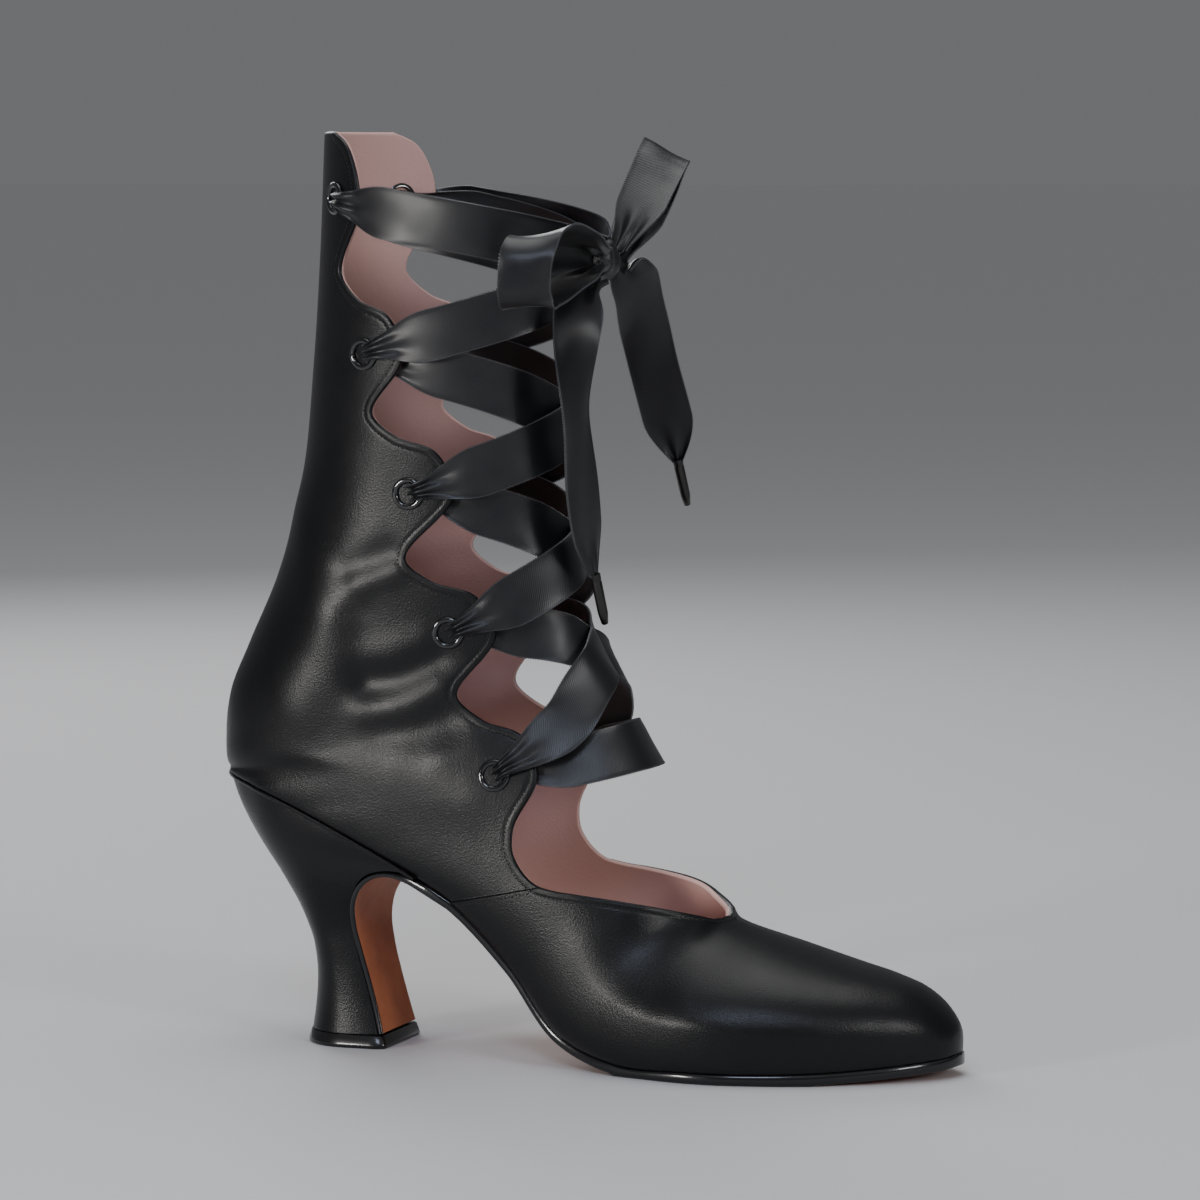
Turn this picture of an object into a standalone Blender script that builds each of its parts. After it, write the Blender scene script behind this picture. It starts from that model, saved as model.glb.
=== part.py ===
# A left boot laced with ribbon, with scalloped open fronts and a Louis heel.
# X runs from the back of the heel to the toe, +Y is the outer side of the foot, +Z is up.
# Tables and named sizes are in millimetres; the meshes are written in metres.
import math

import bmesh
import bpy
import numpy as np

MM = 0.001
GAP = 0.3  # clearance between pieces that touch

# Middle of the boot's box, measured from the back of the heel
CENTRE_X = 120.93
CENTRE_Y = 0.75

WALL = 2.2  # upper leather with its lining
VAMP_STEP = 0.9  # the vamp lies this much prouder than the quarters that it laps
LAP_WIDTH = 0.5  # length over which that step falls away

SOLE_EDGE_PROUD = 1.5  # the sole's edge stands out from the upper at the forepart
WAIST_EDGE_PROUD = 0.4  # and less at the waist
SOLE_THICK = 3.6
WAIST_THICK = 3.0
FLAP_THICK = 1.7  # sole leather where it covers the heel breast
SOLE_EDGE_ROUND = 0.5  # the edge is drawn in this much above, and more below
FLAP_EDGE_ROUND = 0.2
UNDER_ROUND = 1.6
TREAD = (140.0, 205.0)  # stretch of the forepart that stands flat on the floor
WAIST_FROM = 165.0  # the forepart turns into the waist over this length
WAIST_RUN = 60.0
INSOLE_THICK = 2.2
INSOLE_CLEAR = 1.3  # insole edge to the inside of the wall
INSOLE_END = 12.0  # half width of the foot where the insole ends

EYELET_FLANGE = 10.4  # diameters
EYELET_BORE = 6.4
EYELET_BARREL = 7.6
EYELET_HOLE = 8.4  # hole in the wall
EYELET_DOME = 0.9
EYELET_TAIL = 9.0
EYELET_ROLL = 0.6  # thickness of the rolled tail, and its room under the wall
EYELET_SIDES = 12
HOLE_REACH = (5.0, -7.0)  # ends of the hole cutters, from the outside of the wall

RIBBON_WIDTH = 16.0
RIBBON_THICK = 0.8
RIBBON_GATHERED = 8.0  # width where it comes out of an eyelet
RIBBON_SPREAD = 24.0  # length over which it opens to its full width
RIBBON_OVER = 1.3  # height of its middle over the outside of the wall
RIBBON_UNDER = -WALL - 1.2  # and under the inside of the wall
RIBBON_RINGS = 17
EYELET_CLEAR = 6.6  # the solid ribbon stops this far from an eyelet's middle
BAR_LIFT = 7.0  # rise of a run's middle along the last, over the straight way between its eyelets
CROSS_LIFT = (15.0, 3.0, 0.0, 0.0)
BAR_STAND = 2.4  # the bar's middle stands this far off the way of its ends
CROSS_DIVE = (0.36, 0.28)  # where a run starts to dive under the facing front, and over what share
CROSS_PRESS = 0.3  # the upper run of a crossing stands this much over the lower
TOP_STAND = 1.6  # the top runs leave the wall by this much
TOP_RISE = 0.7  # over this share of the way to the knot

TOP_PIECE_HEIGHT = 4.2
TOP_PIECE_RINGS = ((TOP_PIECE_HEIGHT, 0.4), (1.0, 1.3), (0.0, 0.8))  # height, and how far it stands out
TOP_PIECE_ROUND = 15.0  # depth of its rounded back
TOP_PIECE_CORNER = (5.0, 2.2)  # cut of its front corners, along and across
TOP_PIECE_SIDES = 12
AGLET_PROFILE = ((1.68, GAP), (1.6, 12.4), (1.0, 15.5))  # radius, and distance from the ribbon's end
AGLET_SIDES = 10

# Shares of the way round a section beyond which its normal turns evenly to the middle plane
NORMAL_BACK = 0.05
NORMAL_FRONT = 0.96
NORMAL_OPEN = 12.0  # half width of the foot from which the bottom edge counts as open
NORMAL_LOW = 0.40  # share of the way up to the widest place where an open edge takes its normal
STATION_STEP = 0.5
AROUND_STEP = 0.01

# Sections of the last, from the toe to the collar. Each is a plane across the boot, drawn in the
# side view from its bottom (or back) point to its top (or front) point. foot is the half width at
# the bottom, wide the largest half width, widest_at where along the plane that is, ridge_y how far
# the top point lies to the outer side, and bottom_pow and top_pow how square the curve is.
SECTION_COLUMNS = (
    "name", "bottom_x", "bottom_z", "top_x", "top_z", "foot_medial", "foot_lateral",
    "wide_medial", "wide_lateral", "ridge_y", "widest_at", "bottom_pow", "top_pow")
SECTIONS = (
    ("tip",       242.2, 7.9, 242.2, 12.8, 1.4, 1.4, 1.8, 1.8, 0.0, 0.45, 2.0, 2.0),
    ("nose",      241.3, 7.7, 241.4, 15.6, 4.7, 4.7, 5.3, 5.3, 0.0, 0.45, 2.0, 2.0),
    ("toe_front", 239.5, 7.2, 239.7, 18.2, 8.0, 8.0, 8.8, 8.7, 0.0, 0.44, 2.0, 2.0),
    ("toe_round", 236.0, 6.8, 236.2, 22.0, 12.4, 12.2, 13.3, 13.0, 0.0, 0.42, 2.0, 2.1),
    ("toe_side",  230.0, 6.2, 230.3, 26.2, 17.6, 17.0, 18.7, 18.0, 0.0, 0.40, 2.0, 2.1),
    ("toe_cap",   220.0, 5.3, 220.5, 29.8, 24.0, 22.9, 25.3, 24.2, 0.0, 0.38, 2.0, 2.1),
    ("toes",      207.0, 4.4, 208.0, 33.2, 30.6, 29.0, 32.2, 30.6, -0.5, 0.36, 2.0, 2.0),
    ("joint",     189.0, 3.9, 190.5, 38.4, 36.8, 35.6, 38.8, 37.8, -1.5, 0.34, 2.0, 1.85),
    ("throat",    165.0, 3.8, 168.0, 46.2, 39.6, 40.6, 42.2, 43.4, -2.0, 0.33, 2.0, 1.55),
    ("ball",      143.0, 3.9, 165.6, 51.4, 35.4, 40.4, 40.0, 43.6, -2.0, 0.34, 2.0, 1.5),
    ("arch",      122.0, 10.6, 164.0, 56.6, 29.4, 36.4, 36.6, 41.0, -2.0, 0.35, 2.0, 1.6),
    ("waist",     104.0, 31.4, 163.0, 61.8, 26.6, 33.2, 34.0, 38.4, -2.0, 0.36, 2.0, 1.9),
    ("lap",       84.0, 51.0, 161.0, 66.8, 27.4, 31.4, 32.6, 36.0, -1.5, 0.36, 2.0, 2.2),
    ("shank",     72.0, 58.6, 157.0, 74.5, 28.6, 30.8, 31.8, 34.6, -1.5, 0.36, 2.0, 2.5),
    ("breast",    58.0, 66.0, 151.5, 83.0, 29.2, 30.2, 31.3, 33.4, -1.0, 0.36, 2.0, 2.5),
    ("seat",      34.0, 77.4, 145.0, 94.0, 28.4, 28.8, 31.0, 32.2, -1.0, 0.35, 2.0, 2.5),
    ("seat_back", 13.6, 84.8, 139.0, 104.5, 22.6, 22.6, 30.6, 31.4, -0.5, 0.33, 1.85, 2.5),
    ("seat_end",  2.2, 87.6, 135.0, 111.5, 11.6, 11.6, 30.3, 30.8, 0.0, 0.31, 1.8, 2.5),
    ("counter",   -0.4, 88.8, 131.5, 118.0, 0.0, 0.0, 30.0, 30.4, 0.0, 0.30, 2.25, 2.5),
    ("bulge",     -1.8, 99.5, 127.5, 126.5, 0.0, 0.0, 29.8, 30.2, 0.0, 0.30, 2.2, 2.5),
    ("cleft",     -0.4, 113.0, 124.0, 135.0, 0.0, 0.0, 29.6, 30.2, 0.0, 0.31, 2.1, 2.5),
    ("tendon",    5.6, 128.0, 121.0, 144.5, 0.0, 0.0, 29.8, 30.6, 0.0, 0.34, 2.0, 2.5),
    ("ankle",     15.6, 150.0, 118.0, 160.5, 0.0, 0.0, 30.4, 31.4, 0.0, 0.39, 2.0, 2.4),
    ("neck",      24.6, 182.0, 115.8, 187.0, 0.0, 0.0, 30.8, 31.8, 0.0, 0.43, 2.0, 2.3),
    ("calf_low",  29.0, 218.0, 115.6, 221.0, 0.0, 0.0, 33.0, 33.6, 0.0, 0.46, 2.0, 2.2),
    ("calf",      31.6, 250.0, 119.0, 252.0, 0.0, 0.0, 35.8, 36.2, 0.0, 0.47, 2.0, 2.2),
    ("collar",    33.8, 292.0, 129.5, 292.0, 0.0, 0.0, 39.4, 39.6, 0.0, 0.47, 2.0, 2.2),
)

# Top edge of the vamp in the side view, from the throat back to the corner of the quarter
VAMP_TOP = (
    (168.0, 46.2), (166.2, 46.5), (163.2, 47.8), (156.0, 50.3), (148.1, 52.4), (138.7, 54.0),
    (127.5, 55.4), (119.0, 56.4))
# Front edge of the quarter from that corner to the first tab
QUARTER_FOOT = ((113.8, 57.8), (108.1, 62.9), (105.5, 68.0))
# Scalloped tabs, from the lowest up: the valley below each, and its tip
TAB_COLUMNS = ("valley_x", "valley_z", "tip_x", "tip_z")
TABS = (
    (105.4, 74.0, 112.6, 92.5),
    (86.0, 114.6, 97.6, 136.5),
    (70.0, 157.2, 85.4, 181.0),
    (59.0, 203.2, 70.0, 223.0),
    (47.6, 246.2, 55.6, 270.5),
)
TAB_CORNER = (0.20, 0.50)  # shares of the way from a tip to the next valley, in x and in z
TAB_SHOULDER = (0.70, 0.72)
COLLAR_CURVE = ((53.6, 281.5), (49.6, 288.6), (44.0, 292.0))
# Eyelets in the side view, from the lowest up
EYELETS = ((99.3, 91.6), (83.2, 135.8), (71.2, 179.5), (56.8, 223.0), (45.6, 271.5))

# Underside of the sole where it turns down over the heel breast, from the waist to the foot
FLAP_COLUMNS = ("front_x", "front_z", "half_medial", "half_lateral", "thick")
FLAP = (
    (75.0, 52.6, 28.4, 30.6, 3.0),
    (68.0, 55.9, 27.4, 28.8, 2.3),
    (61.0, 57.1, 25.4, 26.4, FLAP_THICK),
    (54.6, 55.4, 23.2, 23.8, FLAP_THICK),
    (50.0, 51.4, 20.8, 21.2, FLAP_THICK),
    (47.4, 46.0, 18.2, 18.4, FLAP_THICK),
    (47.0, 39.6, 16.0, 16.1, FLAP_THICK),
    (48.8, 30.2, 14.3, 14.3, FLAP_THICK),
    (51.8, 19.2, 13.7, 13.7, FLAP_THICK),
    (54.4, 9.6, 14.1, 14.1, FLAP_THICK),
    (55.6, 5.0, 14.6, 14.6, FLAP_THICK),
)
FLAP_STATIONS = 20

# Heel block from the seat down, by the share of the way down the breast that it lies behind: the
# back point of each slice, its half width, its half width at the breast, where it is widest, and
# how much it keeps the outline of the seat
HEEL_COLUMNS = ("breast_share", "back_x", "back_z", "half", "half_front", "widest_at", "seat_share")
HEEL = (
    (0.053, 0.3, 88.2, 29.4, 28.6, 0.60, 1.00),
    (0.110, 2.3, 83.0, 28.4, 27.0, 0.58, 0.80),
    (0.200, 5.6, 75.4, 26.4, 25.0, 0.56, 0.45),
    (0.300, 10.4, 66.0, 23.6, 22.6, 0.55, 0.15),
    (0.375, 16.6, 55.6, 20.6, 20.0, 0.55, 0.0),
    (0.445, 22.4, 45.8, 17.8, 17.2, 0.56, 0.0),
    (0.525, 26.4, 36.6, 15.6, 15.0, 0.57, 0.0),
    (0.655, 28.3, 28.0, 14.4, 13.6, 0.58, 0.0),
    (0.805, 28.5, 19.0, 14.2, 13.1, 0.58, 0.0),
    (0.935, 27.6, 10.0, 14.9, 13.5, 0.57, 0.0),
    (1.000, 26.8, 4.5, 15.6, 14.0, 0.56, 0.0),
)

# Bow: the knot's middle, and the routes of its loops and ends as (x, y, z)
KNOT = (126.0, -1.0, 252.5)
KNOT_SIZE = (9.0, 13.0, 13.0)
KNOT_ROUND = 0.7  # power that makes the knot fuller than an egg
KNOT_RINGS = 10
KNOT_SIDES = 12
KNOT_STAND = 9.0  # the front of the leg to the knot's middle
LOOP_MEDIAL = (
    (127.8, -8.4, 254.6), (126.8, -20.0, 257.4), (125.2, -34.0, 260.0), (123.8, -47.0, 261.2),
    (122.6, -56.0, 259.2), (121.8, -60.2, 254.6), (121.3, -61.0, 248.0), (121.0, -60.0, 242.2),
    (120.9, -56.6, 239.4), (121.4, -51.5, 240.4), (123.0, -36.0, 244.2), (125.4, -20.0, 247.8),
    (127.4, -8.4, 250.2))
LOOP_LATERAL = (
    (128.2, 5.7, 255.1), (130.4, 9.8, 261.0), (132.2, 16.2, 269.2), (133.4, 24.0, 277.2),
    (134.1, 31.9, 284.0), (133.7, 37.3, 286.6), (132.9, 39.2, 286.2), (131.5, 38.5, 282.5),
    (130.4, 31.7, 274.1), (129.7, 22.4, 264.9), (129.4, 13.5, 257.7), (128.3, 5.7, 251.7))
TAIL_MEDIAL = (
    (125.6, -4.1, 246.1), (123.0, -12.5, 243.6), (123.8, -19.0, 236.0), (124.3, -24.0, 213.2),
    (125.0, -21.5, 191.4), (125.2, -17.5, 174.8), (125.5, -13.5, 162.7), (126.5, -10.5, 152.8))
TAIL_LATERAL = (
    (128.8, 5.7, 248.6), (128.0, 13.0, 251.3), (128.5, 21.0, 245.2), (127.7, 31.0, 233.3),
    (128.0, 41.0, 217.9), (128.8, 48.5, 205.8), (129.8, 54.5, 194.5), (130.6, 58.5, 185.3))
# Directions of the ribbon's width, at even steps from the knot to its end
LOOP_MEDIAL_ACROSS = (
    (1.0, 0.0, 0.1), (0.9, 0.3, 0.25), (0.92, 0.36, 0.12), (0.93, 0.37, 0.0), (1.0, 0.0, 0.1))
LOOP_LATERAL_ACROSS = ((1.0, 0.0, 0.1), (0.84, 0.12, -0.53), (1.0, 0.0, 0.1))
TAIL_MEDIAL_ACROSS = ((0.85, 0.52, 0.0), (0.22, 0.97, 0.0), (0.22, 0.97, 0.0))
TAIL_LATERAL_ACROSS = (
    (0.95, 0.3, 0.0), (0.75, 0.3, 0.55), (0.95, 0.3, 0.1), (0.95, 0.3, 0.0), (0.95, 0.3, 0.0))
TAIL_POINT = 4.0  # width of a tail where it is gathered into its aglet
BOW_SPREAD = 18.0  # length over which a loop or tail opens to its full width
LOOP_RINGS = 36
TAIL_RINGS = 20


def columns(names, rows):
    first = 1 if names[0] == "name" else 0
    return {name: np.array([row[i] for row in rows], float)
            for i, name in enumerate(names) if i >= first}


def named_rows(names, rows):
    return [dict(zip(names, row)) for row in rows]


def smooth_through(knots, values):
    # Cubic pieces through every row, with slopes weighed from both neighbours
    knots = np.asarray(knots, float)
    values = np.asarray(values, float)
    step = np.diff(knots)
    rise = np.diff(values, axis=0) / step[:, None]
    slope = np.empty_like(values)
    slope[0], slope[-1] = rise[0], rise[-1]
    weight = (step[1:] + step[:-1])[:, None]
    slope[1:-1] = (rise[:-1] * step[1:, None] + rise[1:] * step[:-1, None]) / weight

    def at(t):
        i = int(np.clip(np.searchsorted(knots, t) - 1, 0, len(step) - 1))
        u = (t - knots[i]) / step[i]
        keep = (1 + 2 * u) * (1 - u) ** 2
        grow = u * u * (3 - 2 * u)
        lean_in = u * (1 - u) ** 2 * step[i]
        lean_out = u * u * (u - 1) * step[i]
        return keep * values[i] + grow * values[i + 1] + lean_in * slope[i] + lean_out * slope[i + 1]
    return at


def chord_knots(points):
    hops = np.linalg.norm(np.diff(np.asarray(points, float), axis=0), axis=1)
    return np.concatenate(([0.0], np.cumsum(hops)))


def smooth_path(points, count):
    points = np.asarray(points, float)
    knots = chord_knots(points)
    at = smooth_through(knots, points)
    return np.array([at(t) for t in np.linspace(0.0, knots[-1], count)])


def ease(t):
    t = min(max(t, 0.0), 1.0)
    return t * t * (3 - 2 * t)


# The last: every piece of the upper and lace is read from this one surface
SECTION = columns(SECTION_COLUMNS, SECTIONS)
SECTION_NAMES = [row[0] for row in SECTIONS]
STATIONS = chord_knots(np.stack([SECTION["bottom_x"], SECTION["bottom_z"],
                                 SECTION["top_x"], SECTION["top_z"]], 1))
SECTION_AT = smooth_through(STATIONS, np.stack([SECTION[n] for n in SECTION_COLUMNS[1:]], 1))


def station_of(name):
    return float(STATIONS[SECTION_NAMES.index(name)])


def section(station):
    values = dict(zip(SECTION_COLUMNS[1:], SECTION_AT(station)))
    closed = station >= station_of("counter") - 1e-6
    for key in ("foot_medial", "foot_lateral"):
        values[key] = 0.0 if closed else max(values[key], 0.0)
    return values


def last_point(station, around, side):
    # around runs from 0 at the bottom or back to 1 at the top or front; side is -1 medial, 1 lateral
    s = section(station)
    name = "medial" if side < 0 else "lateral"
    foot, wide = s["foot_" + name], s["wide_" + name]
    split = s["widest_at"]
    if around < split:
        turn = around / split * math.pi / 2
        power = 2 / s["bottom_pow"]
        height = split * (1 - max(math.cos(turn), 0.0) ** power)
        y = side * (foot + (wide - foot) * math.sin(turn) ** power)
    else:
        turn = min((around - split) / (1 - split), 1.0) * math.pi / 2
        power = 2 / s["top_pow"]
        height = split + (1 - split) * math.sin(turn) ** power
        y = s["ridge_y"] + (side * wide - s["ridge_y"]) * max(math.cos(turn), 0.0) ** power
    x = s["bottom_x"] + (s["top_x"] - s["bottom_x"]) * height
    z = s["bottom_z"] + (s["top_z"] - s["bottom_z"]) * height
    return np.array((x, y, z))


def last_normal(station, around, side):
    s = section(station)
    foot = s["foot_medial"] if side < 0 else s["foot_lateral"]
    open_share = min(foot / NORMAL_OPEN, 1.0)
    low = NORMAL_BACK + (NORMAL_LOW * s["widest_at"] - NORMAL_BACK) * open_share
    a = min(max(around, low), NORMAL_FRONT)
    v = min(max(station, STATIONS[1] / 2), STATIONS[-1] - STATION_STEP)
    along = last_point(v + STATION_STEP, a, side) - last_point(v - STATION_STEP, a, side)
    across = last_point(v, a + AROUND_STEP, side) - last_point(v, a - AROUND_STEP, side)
    normal = np.cross(along, across) * side
    normal /= np.linalg.norm(normal)
    if around > a:
        normal[1] *= (1.0 - around) / (1.0 - a)
    elif around < a:
        normal[1] *= open_share + (1.0 - open_share) * around / a
    return normal / np.linalg.norm(normal)


def proud_point(station, around, side, height):
    return last_point(station, around, side) + height * last_normal(station, around, side)


def find_on_last(x, z):
    # The station and around of a point given in the side view
    def off_plane(station):
        s = section(station)
        dx, dz = s["top_x"] - s["bottom_x"], s["top_z"] - s["bottom_z"]
        return (x - s["bottom_x"]) * dz - (z - s["bottom_z"]) * dx
    low, high = station_of("joint"), STATIONS[-1]
    for _ in range(60):
        middle = (low + high) / 2
        if off_plane(middle) < 0:
            low = middle
        else:
            high = middle
    station = (low + high) / 2
    s = section(station)
    span = np.array((s["top_x"] - s["bottom_x"], s["top_z"] - s["bottom_z"]))
    height = np.dot((x - s["bottom_x"], z - s["bottom_z"]), span) / np.dot(span, span)
    height = min(max(height, 0.0), 1.0)
    split = s["widest_at"]
    if height < split:
        turn = math.acos((1 - height / split) ** (s["bottom_pow"] / 2))
        return station, split * turn / (math.pi / 2)
    turn = math.asin(((height - split) / (1 - split)) ** (s["top_pow"] / 2))
    return station, split + (1 - split) * turn / (math.pi / 2)


# Objects and materials

def clear_scene():
    for obj in list(bpy.data.objects):
        bpy.data.objects.remove(obj, do_unlink=True)


def make_material(name, colour, roughness, metallic=0.0):
    material = bpy.data.materials.new(name)
    material.use_nodes = True
    shader = material.node_tree.nodes["Principled BSDF"]
    shader.inputs["Base Color"].default_value = (*colour, 1.0)
    shader.inputs["Roughness"].default_value = roughness
    shader.inputs["Metallic"].default_value = metallic
    return material


def make_solid(name, points, faces, material, smooth=True):
    shifted = (np.asarray(points, float) - (CENTRE_X, CENTRE_Y, 0.0)) * MM
    mesh = bpy.data.meshes.new(name)
    mesh.from_pydata(shifted.tolist(), [], faces)
    work = bmesh.new()
    work.from_mesh(mesh)
    bmesh.ops.recalc_face_normals(work, faces=work.faces)
    work.to_mesh(mesh)
    work.free()
    if smooth:
        mesh.shade_smooth()
        mesh.set_sharp_from_angle(angle=math.radians(40))
    mesh.materials.append(material)
    obj = bpy.data.objects.new(name, mesh)
    bpy.context.scene.collection.objects.link(obj)
    return obj


def add_boolean(obj, other, operation):
    other.hide_render = True
    other.display_type = "WIRE"
    cut = obj.modifiers.new(operation.lower(), "BOOLEAN")
    cut.object = other
    cut.operation = operation
    cut.solver = "EXACT"


def loft(rings, closed_ends=True):
    # Joins rings of equal length, each a closed loop, into one skin with its ends filled
    count = len(rings[0])
    points = [p for ring in rings for p in ring]
    faces = []
    for i in range(len(rings) - 1):
        for j in range(count):
            k = (j + 1) % count
            faces.append((i * count + j, i * count + k, (i + 1) * count + k, (i + 1) * count + j))
    if closed_ends:
        faces.append(tuple(range(count)))
        faces.append(tuple((len(rings) - 1) * count + j for j in range(count)))
    return points, faces


# Upper

UPPER_COLUMNS = 7  # faces from the bottom or back to the edge, on each side
TOE_SPLITS = 2  # rows added between the sections of the vamp
EDGE_SAMPLES = 3  # rows for each stretch of the scalloped edge
ROW_STEP = 6.0  # rows closer than this are merged
THROAT_ROW = 2.5  # a row close behind the throat rounds its edge


def topline():
    # The edge of the opening in the side view, from the throat to the collar
    points = list(VAMP_TOP) + list(QUARTER_FOOT)
    tabs = named_rows(TAB_COLUMNS, TABS)
    for i, tab in enumerate(tabs):
        tip = tab["tip_x"], tab["tip_z"]
        points += [(tab["valley_x"], tab["valley_z"]), tip]
        if i + 1 < len(tabs):
            dx, dz = tabs[i + 1]["valley_x"] - tip[0], tabs[i + 1]["valley_z"] - tip[1]
            points.append((tip[0] + TAB_CORNER[0] * dx, tip[1] + TAB_CORNER[1] * dz))
            points.append((tip[0] + TAB_SHOULDER[0] * dx, tip[1] + TAB_SHOULDER[1] * dz))
    points += list(COLLAR_CURVE)
    return smooth_path(points, EDGE_SAMPLES * (len(points) - 1) + 1)


def edge_samples():
    found = [(station_of("throat"), 1.0)]
    for x, z in topline()[1:]:
        station, around = find_on_last(x, z)
        if station > found[-1][0] + 0.3:
            found.append((station, around))
    found[-1] = (STATIONS[-1], found[-1][1])
    return np.array(found)


EDGE = edge_samples()


def edge_around(station):
    if station <= station_of("throat"):
        return 1.0
    return float(np.interp(station, EDGE[:, 0], EDGE[:, 1]))


def upper_stations():
    throat, lap, counter = (station_of(n) for n in ("throat", "lap", "counter"))
    fixed = [throat, throat + THROAT_ROW, lap - LAP_WIDTH, lap, counter, STATIONS[-1]]
    stations = set(fixed)
    toe = [s for s in STATIONS if s < throat]
    for a, b in zip(toe, toe[1:] + [throat]):
        stations.update(np.linspace(a, b, TOE_SPLITS + 1)[:-1])
    wanted = [s for s in list(EDGE[:, 0]) + list(STATIONS) if s > throat]
    for s in sorted(wanted):
        if min(abs(s - k) for k in stations) > ROW_STEP:
            stations.add(s)
    return sorted(stations)


UPPER_ROWS = upper_stations()


def inside_station(station):
    # The inside of the toe ends short of its outside, where the last is still wide enough
    start, full = station_of("toe_front"), station_of("toe_cap")
    if station >= full:
        return station
    return start + station * (full - start) / full


def build_upper(material):
    throat, lap, counter = (station_of(n) for n in ("throat", "lap", "counter"))
    outer, inner, index = [], [], {}

    def vertex(i, j, side):
        station = UPPER_ROWS[i]
        around = edge_around(station) * j / UPPER_COLUMNS
        on_ridge = station <= throat and j == UPPER_COLUMNS
        on_back = station >= counter and j == 0
        key = (i, j, 0 if on_ridge or on_back else side)
        if key not in index:
            step = VAMP_STEP if station < lap else 0.0
            index[key] = len(outer)
            outside = proud_point(station, around, side, step)
            inside = proud_point(inside_station(station), around, side, -WALL)
            if on_back:
                outside[1] = inside[1] = 0.0
            elif j == 0:
                inside[2] = max(inside[2], outside[2])
            outer.append(outside)
            inner.append(inside)
        return index[key]

    skin = []
    for i in range(len(UPPER_ROWS) - 1):
        for j in range(UPPER_COLUMNS):
            for side in (-1, 1):
                quad = [vertex(i, j, side), vertex(i + 1, j, side),
                        vertex(i + 1, j + 1, side), vertex(i, j + 1, side)]
                corners = list(dict.fromkeys(quad if side > 0 else quad[::-1]))
                skin.append(tuple(corners))
    toe = [vertex(0, j, 1) for j in range(UPPER_COLUMNS + 1)]
    toe += [vertex(0, j, -1) for j in range(UPPER_COLUMNS - 1, -1, -1)]
    skin.append(tuple(toe))
    count = len(outer)
    used = {(a, b) for face in skin for a, b in zip(face, face[1:] + face[:1])}
    rim = [(b, a, a + count, b + count) for a, b in used if (b, a) not in used]
    lining = [tuple(v + count for v in reversed(face)) for face in skin]
    upper = make_solid("upper", outer + inner, skin + lining + sorted(rim), material)
    bore = [(EYELET_HOLE / 2, reach) for reach in HOLE_REACH]
    holes = join_rings([turned(eyelet_axis(i, side), bore, EYELET_SIDES)
                        for i in range(len(EYELETS)) for side in (-1, 1)])
    add_boolean(upper, make_solid("eyelet_holes", *holes, material), "DIFFERENCE")
    return upper


# Eyelets

def eyelet_axis(i, side):
    station, around = find_on_last(*EYELETS[i])
    return last_point(station, around, side), last_normal(station, around, side)


def turned(axis, profile, segments, closed_profile=False):
    # Turns (radius, height) points about an axis; an open profile gets flat ends
    middle, out = axis
    out = np.asarray(out, float)
    first = np.cross(out, (0.0, 0.0, 1.0))
    first /= np.linalg.norm(first)
    second = np.cross(out, first)
    rings = []
    for radius, height in profile:
        angles = np.arange(segments) * 2 * math.pi / segments
        rings.append([middle + out * height + radius * (math.cos(t) * first + math.sin(t) * second)
                      for t in angles])
    points, faces = loft(rings, closed_ends=not closed_profile)
    if closed_profile:
        last = (len(rings) - 1) * segments
        for j in range(segments):
            k = (j + 1) % segments
            faces.append((last + j, last + k, k, j))
    return points, faces


def join_rings(parts):
    points, faces = [], []
    for part_points, part_faces in parts:
        base = len(points)
        points += list(part_points)
        faces += [tuple(v + base for v in face) for face in part_faces]
    return points, faces


def build_eyelets(material):
    bore, barrel = EYELET_BORE / 2, EYELET_BARREL / 2
    flange, tail = EYELET_FLANGE / 2, EYELET_TAIL / 2
    tail_top = -WALL - EYELET_ROLL
    profile = (
        (bore + GAP, GAP + 0.7 * EYELET_DOME), (0.5 * (bore + flange), GAP + EYELET_DOME),
        (flange, GAP + 0.3 * EYELET_DOME), (barrel, GAP), (barrel, tail_top), (tail, tail_top),
        (bore + GAP, tail_top - EYELET_ROLL), (bore, -0.5 * WALL))
    for name, side in (("medial", -1), ("lateral", 1)):
        for i in range(len(EYELETS)):
            solid = turned(eyelet_axis(i, side), profile, EYELET_SIDES, closed_profile=True)
            make_solid(f"eyelet_{name}_{i + 1}", *solid, material)


# Sole, insole and heel

def foot_rows(first, last):
    # Sections along the bottom of the last, at the rows of the upper that stands on it
    a, b = station_of(first), station_of(last)
    return [section(s) for s in UPPER_ROWS if a <= s <= b]


def path_normals(path):
    # Upward normals of a path in the side view that runs from the toe to the heel
    slope = np.gradient(np.asarray(path, float), axis=0)
    normals = np.stack([slope[:, 1], -slope[:, 0]], 1)
    return normals / np.linalg.norm(normals, axis=1)[:, None]


def foot_edge(rows, name, proud):
    # Outline of the foot on one side, seen from above and moved outwards
    edge = np.array([(r["bottom_x"], r["foot_" + name]) for r in rows])
    return edge + np.reshape(proud, (-1, 1)) * path_normals(edge)


def edge_ring(top, bottom, medial, lateral, round_in, ahead=(0.0, 0.0)):
    # Section of a sole: flat above and below, with a rounded edge on both sides that may lie ahead
    (tx, tz), (bx, bz) = top, bottom
    mx, mz = (tx + bx) / 2, (tz + bz) / 2
    under_in = UNDER_ROUND * round_in
    a, b = ahead
    return [(tx + a, round_in - medial, tz), (mx + a, -medial, mz), (bx + a, under_in - medial, bz),
            (bx + b, lateral - under_in, bz), (mx + b, lateral, mz), (tx + b, lateral - round_in, tz)]


def flap_stations():
    # Rows of the flap with the direction from its face into the heel
    rows = smooth_path(FLAP, FLAP_STATIONS)
    return list(zip(named_rows(FLAP_COLUMNS, rows), path_normals(rows[:, :2])))


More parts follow.
